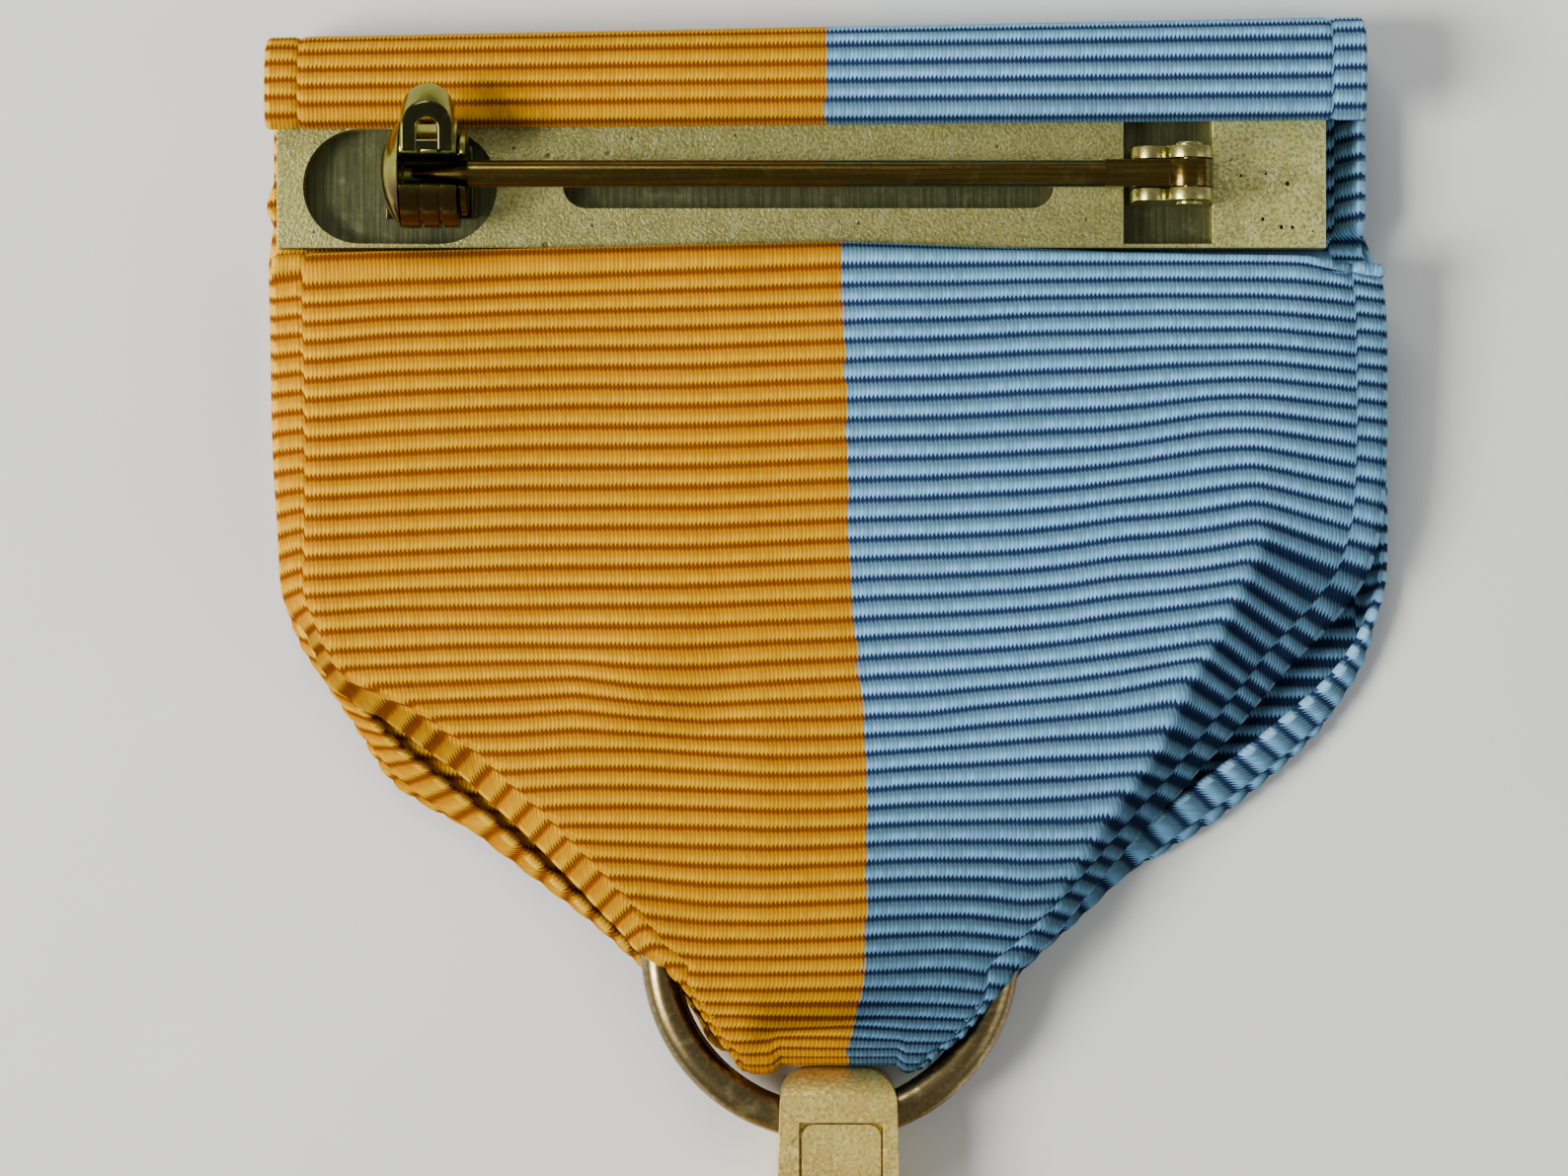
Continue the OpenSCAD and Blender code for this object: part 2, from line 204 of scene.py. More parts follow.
# how far each rib runs below (+) its height at the colour boundary, in frame
# pixels, against the place across and the height of the rib at the boundary
DX_AT = [328, 392, 456, 520, 584, 648, 712, 776, 840, 865, 890, 938, 986, 1034, 1082, 1130, 1178, 1226, 1274, 1322, 1370]
DY_AT = [262, 366, 448, 488, 548, 607, 650, 690, 731, 769, 804, 859, 917, 991, 1030, 1046, 1062]
DIP = [
    [22, 15, 14, 9, 8, 6, 4, 3, 1, 0, -1, -1, -2, -5, -6, -7, -7, -6, -5, -1, 7],
    [22, 15, 12, 9, 7, 7, 6, 3, 1, 0, -1, -2, -4, -7, -9, -10, -11, -9, -8, -4, 5],
    [19, 14, 11, 8, 7, 7, 6, 4, 1, 0, -1, -2, -4, -7, -9, -10, -11, -12, -9, -4, 5],
    [19, 14, 11, 8, 8, 7, 7, 4, 1, 0, -1, -2, -5, -7, -10, -14, -17, -20, -20, -9, 3],
    [18, 14, 11, 8, 7, 7, 7, 4, 1, 0, -1, -3, -5, -8, -13, -20, -23, -28, -35, -16, 7],
    [16, 11, 9, 8, 7, 7, 6, 3, 1, 0, -2, -3, -6, -9, -14, -22, -27, -34, -43, -30, 0],
    [12, 10, 7, 6, 7, 8, 7, 3, 1, 0, -2, -5, -7, -11, -16, -24, -31, -38, -46, -46, -46],
    [12, 8, 5, 2, -1, 7, 8, 4, 1, 0, -2, -4, -8, -12, -17, -24, -32, -40, -46, -46, -46],
    [8, 4, 0, -2, -7, -1, 4, 2, 1, 0, -2, -4, -10, -15, -20, -25, -33, -38, -38, -38, -38],
    [0, -1, -2, -2, -6, -6, -1, 2, 1, 0, -2, -6, -10, -14, -18, -22, -28, -30, -30, -30, -30],
    [2, 2, 2, 2, -3, -4, -1, 1, 1, 0, -2, -6, -8, -10, -13, -19, -24, -26, -26, -26, -26],
    [-5, -5, -5, -5, -5, -2, 1, 3, 1, 0, -2, -4, -4, -5, -10, -16, -20, -20, -20, -20, -20],
    [-5, -5, -5, -5, -5, -5, 2, 4, 1, 0, -2, -4, -4, -6, -16, -20, -20, -20, -20, -20, -20],
    [-6, -6, -6, -6, -6, -6, 1, 2, 1, 0, -2, -5, -7, -10, -12, -12, -12, -12, -12, -12, -12],
    [0, 0, 0, 0, 0, 0, 4, 4, 1, 0, -1, 1, 2, 2, 2, 2, 2, 2, 2, 2, 2],
    [8, 8, 8, 8, 8, 8, 12, 11, 3, 0, 3, 13, 18, 18, 18, 18, 18, 18, 18, 18, 18],
    [8, 8, 8, 8, 8, 8, 10, 11, 3, 0, 4, 13, 16, 16, 16, 16, 16, 16, 16, 16, 16]]
DIP = np.array(DIP, float)


def dip_row(yc):
    """The dip table's row for the rib that meets the colour boundary at yc."""
    k = int(np.clip(np.searchsorted(DY_AT, yc) - 1, 0, len(DY_AT) - 2))
    t = float(np.clip((yc - DY_AT[k]) / (DY_AT[k + 1] - DY_AT[k]), 0, 1))
    return DIP[k] * (1 - t) + DIP[k + 1] * t


# how many ribs lie above each height on the colour boundary
RIB_Y = [270, 306, 365, 468, 569, 669, 730, 768, 804, 858, 906, 954, 1007, 1030, 1043, 1052, 1062]
RIB_N = [0, 2, 5, 10, 15, 20, 23, 25, 27, 30, 32.5, 35, 38, 39.5, 40.6, 41.6, 42.6]


def table_rows(yc, cols):
    for y in yc:
        v = {k: float(pchip(cols["YC"], cols[k], y)) for k in cols if k != "YC"}
        control.append([
            px(v["XS"], v["YS"], v["ZS"]), px(v["XL"], v["YL"], v["ZL"]),
            px(v["XB"], y, v["ZC"]), px(v["XR"], v["YR"], v["ZR"]), px(v["XT"], v["YT"], v["ZT"])])


back_start = len(control)
table_rows([262, 280, 300, 325, 350, 400, 450, 490, 520, 550, 565, 580, 597, 614, 633, 652, 665, 677, 690, 701, 712,
            725, 737, 750, 764, 781, 797, 809, 821, 840, 862, 883, 905, 921, 938, 951, 964, 979, 994, 1013, 1032, 1046],
           dict(YC=YC, XB=XB, ZC=ZC, XL=XL, YL=YL, ZL=ZL, XS=XS, YS=YS, ZS=ZS, XR=XR, YR=YR, ZR=ZR, XT=XT, YT=YT, ZT=ZT))
back_end = len(control)

# fold through the ring
FOLD_R = 1.16
for deg in (66, 44, 22, 0, -22, -44, -68):
    a = math.radians(deg)
    z = 1.40 + FOLD_R * math.sin(a)
    yc = 3.26 - FOLD_R * math.cos(a)

    def at(x, d):
        return (x, 3.26 - (FOLD_R + d) * math.cos(a), 1.40 + (FOLD_R + d) * math.sin(a))

    out = abs(math.sin(a)) ** 2
    xl, xr = -2.50 - 0.55 * out, 2.93 + 0.74 * out
    tuck = -0.85 + 0.40 * out
    control.append([at(xl + 0.72, tuck), at(xl, -0.16), at(0.72, -0.16), at(xr, -0.16), at(xr - 0.72, tuck)])

# front layer, lying on its face, walked upwards
FY = [240, 350, 450, 520, 590, 640, 690, 740, 790, 840, 890, 940, 985, 1020, 1050, 1064]
F = dict(
    YC=FY,
    XB=[846, 848, 851, 854, 857, 860, 864, 866, 868, 868, 868, 867, 866, 863, 860, 858],
    ZC=[0.24] * 16,
    XL=[300, 302, 305, 304, 290, 302, 331, 364, 398, 470, 545, 610, 658, 700, 722, 732],
    YL=[250, 353, 455, 525, 602, 647, 692, 742, 793, 835, 889, 938, 981, 1015, 1046, 1060],
    ZL=[0.24, 0.24, 0.24, 0.26, 0.34, 0.42, 0.46, 0.46, 0.46, 0.46, 0.44, 0.40, 0.32, 0.28, 0.28, 0.30],
    XS=[272, 274, 276, 281, 292, 322, 362, 396, 436, 492, 552, 612, 656, 694, 716, 728],
    YS=[250, 353, 455, 525, 596, 656, 708, 747, 780, 823, 878, 932, 974, 1012, 1044, 1060],
    ZS=[0.26, 0.28, 0.34, 0.55, 0.85, 0.98, 1.02, 1.02, 1.02, 1.02, 1.00, 0.85, 0.50, 0.32, 0.30, 0.32],
    XR=[1362, 1370, 1374, 1378, 1390, 1388, 1368, 1332, 1284, 1226, 1152, 1087, 1040, 1006, 978, 966],
    YR=[258, 354, 449, 518, 592, 646, 696, 745, 789, 832, 876, 932, 974, 1010, 1044, 1060],
    ZR=[0.24, 0.24, 0.26, 0.30, 0.36, 0.40, 0.44, 0.46, 0.46, 0.46, 0.46, 0.42, 0.34, 0.28, 0.28, 0.30],
    XT=[1394, 1401, 1404, 1405, 1402, 1382, 1350, 1306, 1254, 1198, 1132, 1076, 1037, 1004, 976, 962],
    YT=[260, 356, 451, 520, 588, 636, 682, 722, 764, 804, 858, 920, 968, 1006, 1042, 1060],
    ZT=[0.30, 0.36, 0.42, 0.55, 0.75, 0.88, 0.96, 1.00, 1.02, 1.02, 1.02, 0.90, 0.55, 0.34, 0.30, 0.32])
front_start = len(control)
table_rows([1060, 1040, 1020, 1000, 985, 962, 940, 915, 890, 865, 840, 815, 790, 765, 740, 715, 690, 665, 640, 615,
            590, 555, 520, 485, 450, 400, 350, 300, 262], F)
front_end = len(control)
# front ply under the bar and over its top edge
for y in (29.0, 30.5, 32.0, 33.2):
    flat_row(y, 0.24, -17.6, 17.1, 0.15)
for y, z, t in [(33.9, 0.26, 0.08), (34.3, 0.40, 0.2), (34.58, 0.74, 0.30), (34.70, 1.25, 0.33), (34.73, 1.85, 0.33),
                (34.70, 2.42, 0.33), (34.56, 2.92, 0.31), (34.25, 3.25, 0.28), (33.85, 3.40, 0.25)]:
    flat_row(y, z, -17.55, 16.95, 0.02, tilt=t)
# strip on the bar's back, tucked under along its lower edge
for y, z, t in [(33.3, 3.46, 0.21), (32.75, 3.44, 0.18), (32.3, 3.36, 0.16), (31.98, 3.22, 0.155), (31.86, 3.04, 0.155),
                (31.93, 2.91, 0.155), (32.15, 2.89, 0.15), (32.6, 2.89, 0.13)]:
    flat_row(y, z, -17.55, 16.95, 0.0, tilt=t)

C = np.array(control, float)  # rows, 5 stations, xyz
r_ctrl = np.concatenate([[0], np.cumsum(np.linalg.norm(np.diff(C[:, 2], axis=0), axis=1))])
FINE = 0.05
r_fine = np.arange(0, r_ctrl[-1], FINE)
G = np.zeros((len(r_fine), 5, 3))
for s in range(5):
    for c in range(3):
        G[:, s, c] = pchip(r_ctrl, C[:, s, c], r_fine)
G = gauss_rows(G.reshape(len(r_fine), 15), 4.0).reshape(-1, 5, 3)
cen = G[:, 2]
arc = np.concatenate([[0], np.cumsum(np.linalg.norm(np.diff(cen, axis=0), axis=1))])
r_at = np.interp(np.arange(len(arc)), np.arange(len(arc)), r_fine)
frame_y = 595.5 - (cen[:, 1] - CAM_Y) * SCALE * (CAM_Z - FOCUS_Z) / (CAM_Z - cen[:, 2])
step = np.full(len(arc), 1.0 / PITCH)
sel = (r_at > r_ctrl[back_start] + 0.2) & (r_at < r_ctrl[back_end - 1])
rate = np.interp(frame_y, RIB_Y, np.gradient(RIB_N, RIB_Y)) * SCALE
step[sel] = rate[sel]
step[(r_at >= r_ctrl[back_end - 1]) & (r_at < r_ctrl[back_end + 3])] = 1.0 / 0.34
step[r_at > r_ctrl[front_end + 4]] = 1.0 / 0.545
step = gauss_rows(step[:, None], 12.0)[:, 0]
count = np.concatenate([[0], np.cumsum(0.5 * (step[1:] + step[:-1]) * np.diff(arc))])
# one valley falls where the first rib of the back drape is seen
mark = np.interp(270.0, frame_y[sel], count[sel])
count += math.ceil(mark) - mark
# and another where the strip's ribs are seen
strip = (r_at > r_ctrl[front_end + 10]) & (cen[:, 2] > 3.0) & (cen[:, 1] < 34.2) & (cen[:, 1] > 32.0)
mark = np.interp(-33.05, -cen[strip, 1], count[strip])
count += (round(mark) - mark) * smoothstep(r_ctrl[front_start], r_ctrl[front_end - 1], r_at)
N_RIB = int(math.floor(count[-1])) - int(math.ceil(count[0]))
R0 = math.ceil(count[0])
ROWS = N_RIB * PER_RIB + 1
rib = R0 + np.arange(ROWS) / PER_RIB
target = np.interp(rib, count, arc)
idx = np.interp(target, arc, np.arange(len(arc)))
i0 = np.clip(idx.astype(int), 0, len(arc) - 2)
fr = (idx - i0)[:, None, None]
K = G[i0] * (1 - fr) + G[i0 + 1] * fr  # ROWS, 5, 3
r_row = np.interp(target, arc, r_fine)
row_y = np.interp(target, arc, frame_y)


def r_of(i):
    return r_ctrl[i]


on_back = smoothstep(r_of(back_start) - 1.0, r_of(back_start) + 2.5, r_row) * (
    1 - smoothstep(r_of(back_end - 1) - 3.0, r_of(back_end - 1), r_row))
on_front = smoothstep(r_of(front_start), r_of(front_start) + 3.0, r_row) * (
    1 - smoothstep(r_of(front_end - 1) - 2.5, r_of(front_end - 1), r_row))

# stations to columns: finer next to the folds
NS, NF = 12, 34
t_s = np.linspace(0, 1, NS + 1)
t_f = np.linspace(0, 1, NF + 1)
f_in = t_f ** 1.5
f_out = 1 - (1 - t_f) ** 1.5
COLS = 2 * NS + 2 * NF + 1
P = np.zeros((ROWS, COLS, 3))
TH = np.zeros((ROWS, COLS))
ED = np.zeros((ROWS, COLS))
DENSE = 360
for i in range(ROWS):
    k = K[i]
    seg = np.linalg.norm(np.diff(k, axis=0), axis=1)
    a = np.concatenate([[0], np.cumsum(seg)])
    s = np.linspace(0, a[-1], DENSE)
    q = np.stack([np.interp(s, a, k[:, c]) for c in range(3)], axis=1)
    # between its folds, each rib of the back drape follows its own bow
    w = on_back[i]
    if w > 0:
        kk = (CAM_Z - q[:, 2]) / (CAM_Z - FOCUS_Z) / SCALE
        dip = -np.interp(794.0 + (q[:, 0] - CAM_X) / kk, DX_AT, dip_row(row_y[i])) * kk
        for lo, hi, end in ((a[1], a[2], 1), (a[3], a[2], 3)):
            u = np.clip((s - lo) / (hi - lo), 0, 1) * ((s >= min(lo, hi)) & (s <= max(lo, hi)))
            line = k[end, 1] + (k[2, 1] - k[end, 1]) * u
            gap = k[end, 1] - (k[2, 1] + np.interp(lo, s, dip))
            want = k[2, 1] + dip + gap * (1 - smoothstep(0.0, 0.45, u))
            on = (s >= min(lo, hi)) & (s <= max(lo, hi))
            q[:, 1] = np.where(on, q[:, 1] + w * (want - line), q[:, 1])
    crisp = w * smoothstep(560, 600, row_y[i]) * (1 - smoothstep(900, 960, row_y[i]))
    soft_q, sharp_q = gauss_rows(q, 3.2), gauss_rows(q, 1.4)
    q = soft_q * (1 - crisp) + sharp_q * crisp
    cols = np.concatenate([a[1] * t_s, (a[1] + (a[2] - a[1]) * f_in)[1:], (a[2] + (a[3] - a[2]) * f_out)[1:],
                           (a[3] + (a[4] - a[3]) * t_s)[1:]])
    for c in range(3):
        P[i, :, c] = np.interp(cols, s, q[:, c])
    TH[i] = cols - a[2]
    ED[i] = np.minimum(cols, a[4] - cols)

# soft waves in the drape, in place and height
X, Y = P[:, :, 0].copy(), P[:, :, 1].copy()
wb = on_back[:, None] * smoothstep(0.0, 2.2, ED)
wave = (0.16 * np.exp(-(((X + 5.6) / 1.9) ** 2 + ((Y - 14.6) / 1.6) ** 2))
        - 0.18 * np.exp(-(((X + 3.9) / 1.6) ** 2 + ((Y - 13.2) / 1.4) ** 2))
        + 0.10 * np.exp(-(((X - 3.2) / 2.6) ** 2 + ((Y - 13.8) / 1.2) ** 2))
        - 0.08 * np.exp(-(((X - 6.8) / 2.2) ** 2 + ((Y - 16.5) / 1.6) ** 2))
        + 0.06 * np.sin(X * 0.42 + 0.8) * np.sin(Y * 0.31 + 0.4))
P[:, :, 2] += wb * (wave * 1.3 + 0.03 * grid_noise(ROWS, COLS, 5, 44, 11))
P[:, :, 1] += wb * 0.012 * grid_noise(ROWS, COLS, 7, 22, 7)
# wrinkle across the tip, deepest on the orange side
tip = np.exp(-(((Y - 3.50 - 0.10 * (X - 0.7)) / 0.34) ** 2)) * smoothstep(3.0, 0.4, X) * smoothstep(-2.6, -1.6, X)
on_tip = smoothstep(r_of(back_start) + 2.0, r_of(back_start) + 4.0, r_row) * (
    1 - smoothstep(r_of(back_end), r_of(back_end + 3), r_row))
P[:, :, 2] -= on_tip[:, None] * 0.22 * tip
# its corners hang a little lower, either side of the lug
loop_w = smoothstep(r_of(back_end - 1) - 0.4, r_of(back_end - 1) + 1.0, r_row) * (
    1 - smoothstep(r_of(front_start) - 0.8, r_of(front_start) + 1.0, r_row))
P[:, :, 1] -= loop_w[:, None] * (0.28 * smoothstep(-1.42, -1.80, X) + 0.24 * smoothstep(2.28, 2.62, X))
wf = on_front[:, None] * smoothstep(0.0, 2.2, ED)
P[:, :, 2] += wf * (0.03 + 0.03 * grid_noise(ROWS, COLS, 6, 60, 14))

# mask of the flaps turned under beside the sharp folds: 1 on them, 0 elsewhere; it deepens their ribs and carries
# painted shade onto them
FLAP_SHADE = np.zeros((ROWS, COLS))
DIRN = np.sign(np.gradient(P[:, COLS // 2, 1]))
low = smoothstep(545, 600, row_y) * (1 - smoothstep(800, 960, row_y)) * on_back
for i in range(ROWS):
    k = K[i]
    seg = np.concatenate([[0], np.cumsum(np.linalg.norm(np.diff(k, axis=0), axis=1))])
    c_s = TH[i] + seg[2]
    FLAP_SHADE[i] = low[i] * smoothstep(seg[3] - 0.05, seg[3] + 0.25, c_s)
    FLAP_SHADE[i] += 0.75 * on_back[i] * smoothstep(590, 640, row_y[i]) * (1 - smoothstep(735, 800, row_y[i])) * (
        1 - smoothstep(seg[1] - 0.30, seg[1] + 0.05, c_s))
# and painted shade in the hollow of the wrinkle across the tip
FLAP_SHADE += 0.80 * on_tip[:, None] * np.exp(-(((Y - 3.85 - 0.07 * (X - 0.7)) / 0.62) ** 2)) * (
    smoothstep(2.4, 0.6, X) * 0.65 + 0.35 * smoothstep(3.6, 2.4, X)) * smoothstep(-3.0, -1.6, X)
FLAP_SHADE = np.clip(FLAP_SHADE, 0, 1)
# painted shade on the front layer's inner face, seen through the gap beside the right flap
FLAP_SHADE_IN = FLAP_SHADE.copy()
for i in range(ROWS):
    if on_front[i] > 0:
        k = K[i]
        seg = np.concatenate([[0], np.cumsum(np.linalg.norm(np.diff(k, axis=0), axis=1))])
        c_s = TH[i] + seg[2]
        w = on_front[i] * smoothstep(540, 600, row_y[i]) * (1 - smoothstep(800, 850, row_y[i]))
        FLAP_SHADE_IN[i] = np.maximum(FLAP_SHADE_IN[i], w * smoothstep(0.5, 2.0, TH[i]) * (1 - smoothstep(seg[3] - 0.25, seg[3] + 0.1, c_s)))

# smooth normals of the middle surface
du = np.gradient(P, axis=1)
sm = gauss_rows(P.reshape(ROWS, -1), PER_RIB * 0.45).reshape(P.shape)
dv = np.gradient(sm, axis=0)
nrm = np.cross(du, dv)
nrm /= np.linalg.norm(nrm, axis=2, keepdims=True) + 1e-12
# the back layer's outer face looks up
mid_i = int(np.interp(r_of(back_start + 6), r_row, np.arange(ROWS)))
if nrm[mid_i, COLS // 2, 2] < 0:
    nrm = -nrm

# rib profile: round ridge, narrow valley; the selvedge band is out of step
fr_body = np.abs(np.sin(np.pi * rib))[:, None] ** 0.72
fr_band = np.abs(np.sin(np.pi * (rib + 0.42)))[:, None] ** 0.8
band = smoothstep(BAND + 0.10, BAND - 0.10, ED)
groove = np.exp(-((ED - BAND) / 0.10) ** 2)
h = RIB_LOW + RIB_AMP * (1 + 0.35 * FLAP_SHADE) * (fr_body * (1 - band) + (0.12 + 0.78 * fr_band) * band) - 0.055 * groove
h *= 1 - 0.45 * smoothstep(0.12, 0.0, ED)
h += 0.006 * grid_noise(ROWS, COLS, 9, 7, 3)
top, bot = P + nrm * h[:, :, None], P - nrm * h[:, :, None]
# nothing sinks into the surface that the medal lies on
for side in (top, bot):
    side[:, :, 2] = np.maximum(side[:, :, 2], 0.004)

verts = np.concatenate([top.reshape(-1, 3), bot.reshape(-1, 3)]) * MM
nv = ROWS * COLS
I, J = np.meshgrid(np.arange(ROWS - 1), np.arange(COLS - 1), indexing="ij")
a0 = (I * COLS + J).ravel()
f_top = np.stack([a0, a0 + COLS, a0 + COLS + 1, a0 + 1], axis=1)
f_bot = np.stack([a0, a0 + 1, a0 + COLS + 1, a0 + COLS], axis=1) + nv
loop = ([i * COLS for i in range(ROWS)] + [(ROWS - 1) * COLS + j for j in range(1, COLS)]
        + [i * COLS + COLS - 1 for i in range(ROWS - 2, -1, -1)] + [j for j in range(COLS - 2, 0, -1)])
loop = np.array(loop)
nxt = np.roll(loop, -1)
f_side = np.stack([loop, loop + nv, nxt + nv, nxt], axis=1)
faces = np.concatenate([f_top, f_bot, f_side])
me = bpy.data.meshes.new("ribbon")
me.vertices.add(len(verts))
me.vertices.foreach_set("co", verts.ravel())
me.loops.add(faces.size)
me.loops.foreach_set("vertex_index", faces.ravel().astype(np.int32))
me.polygons.add(len(faces))
me.polygons.foreach_set("loop_start", np.arange(0, faces.size, 4, dtype=np.int32))
me.polygons.foreach_set("loop_total", np.full(len(faces), 4, dtype=np.int32))
me.polygons.foreach_set("use_smooth", np.ones(len(faces), bool))
me.update(calc_edges=True)
me.validate()
bm = bmesh.new()
bm.from_mesh(me)
vol = bm.calc_volume(signed=True)
if vol < 0:
    bmesh.ops.reverse_faces(bm, faces=bm.faces)
bm.to_mesh(me)
bm.free()
for nm, arr in (("rib", np.repeat(rib[:, None], COLS, axis=1)), ("thread", TH), ("edge", ED), ("flap", FLAP_SHADE),
                ("down", np.repeat(-DIRN[:, None], COLS, axis=1))):
    at = me.attributes.new(nm, "FLOAT", "POINT")
    under = FLAP_SHADE_IN if nm == "flap" else arr
    at.data.foreach_set("value", np.concatenate([arr.ravel(), under.ravel()]).astype(np.float32))
ribbon = new_object("ribbon_strip", me)
print("ribbon: rows", ROWS, "cols", COLS, "length mm", round(float(arc[-1]), 2), "ribs", N_RIB)
RIBBON_LEN = float(arc[-1])


# ------------------------------------------------------------------ materials
def srgb(r, g, b):
    def f(c):
        c /= 255.0
        return c / 12.92 if c <= 0.04045 else ((c + 0.055) / 1.055) ** 2.4

    return (f(r), f(g), f(b), 1.0)


class Mat:
    """Small helper that wires shader nodes."""

    def __init__(self, name):
        self.m = bpy.data.materials.new(name)
        self.m.use_nodes = True
        self.t = self.m.node_tree
        self.b = self.t.nodes["Principled BSDF"]

    def n(self, kind, **kw):
        node = self.t.nodes.new(kind)
        ins = kw.pop("ins", {})
        for k, v in kw.items():
            setattr(node, k, v)
        for k, v in ins.items():
            self.put(node.inputs[k], v)
        return node

    def put(self, socket, v):
        if isinstance(v, bpy.types.NodeSocket):
            self.t.links.new(v, socket)
        elif hasattr(socket.default_value, "__len__") and not hasattr(v, "__len__"):
            socket.default_value = (v,) * len(socket.default_value)
        else:
            socket.default_value = v

    def math(self, op, a, b=None, c=None, clamp=False):
        node = self.n("ShaderNodeMath", operation=op, use_clamp=clamp)
        for i, v in enumerate((a, b, c)):
            if v is not None:
                self.put(node.inputs[i], v)
        return node.outputs[0]

    def attr(self, name):
        return self.n("ShaderNodeAttribute", attribute_name=name, attribute_type="GEOMETRY").outputs["Fac"]

    def obj(self):
        return self.n("ShaderNodeTexCoord").outputs["Object"]

    def mapped(self, scale=(1, 1, 1), rot=(0, 0, 0)):
        node = self.n("ShaderNodeMapping")
        self.put(node.inputs["Vector"], self.obj())
        node.inputs["Scale"].default_value = scale
        node.inputs["Rotation"].default_value = rot
        return node.outputs[0]

    def noise(self, vec, scale, detail=4, rough=0.55, dist=0.0):
        node = self.n("ShaderNodeTexNoise")
        self.put(node.inputs["Vector"], vec)
        node.inputs["Scale"].default_value = scale
        node.inputs["Detail"].default_value = detail
        node.inputs["Roughness"].default_value = rough
        node.inputs["Distortion"].default_value = dist
        return node.outputs["Fac"]

    def voronoi(self, vec, scale, feature="F1"):
        node = self.n("ShaderNodeTexVoronoi", feature=feature)
        self.put(node.inputs["Vector"], vec)
        node.inputs["Scale"].default_value = scale
        return node.outputs["Distance"]

    def ramp(self, v, a, b, lo=0.0, hi=1.0, smooth=True):
        node = self.n("ShaderNodeMapRange", interpolation_type="SMOOTHSTEP" if smooth else "LINEAR")
        self.put(node.inputs["Value"], v)
        node.inputs["From Min"].default_value = a
        node.inputs["From Max"].default_value = b
        node.inputs["To Min"].default_value = lo
        node.inputs["To Max"].default_value = hi
        return node.outputs["Result"]

    def mix(self, f, a, b, blend="MIX"):
        node = self.n("ShaderNodeMix", data_type="RGBA", blend_type=blend)
        self.put(node.inputs[0], f)
        self.put(node.inputs[6], a)
        self.put(node.inputs[7], b)
        return node.outputs[2]

    def bump(self, height, distance, strength=1.0, normal=None):
        node = self.n("ShaderNodeBump")
        node.inputs["Strength"].default_value = strength
        node.inputs["Distance"].default_value = distance
        self.put(node.inputs["Height"], height)
        if normal is not None:
            self.put(node.inputs["Normal"], normal)
        return node.outputs[0]

    def set(self, **kw):
        for k, v in kw.items():
            self.put(self.b.inputs[k], v)
        return self.m


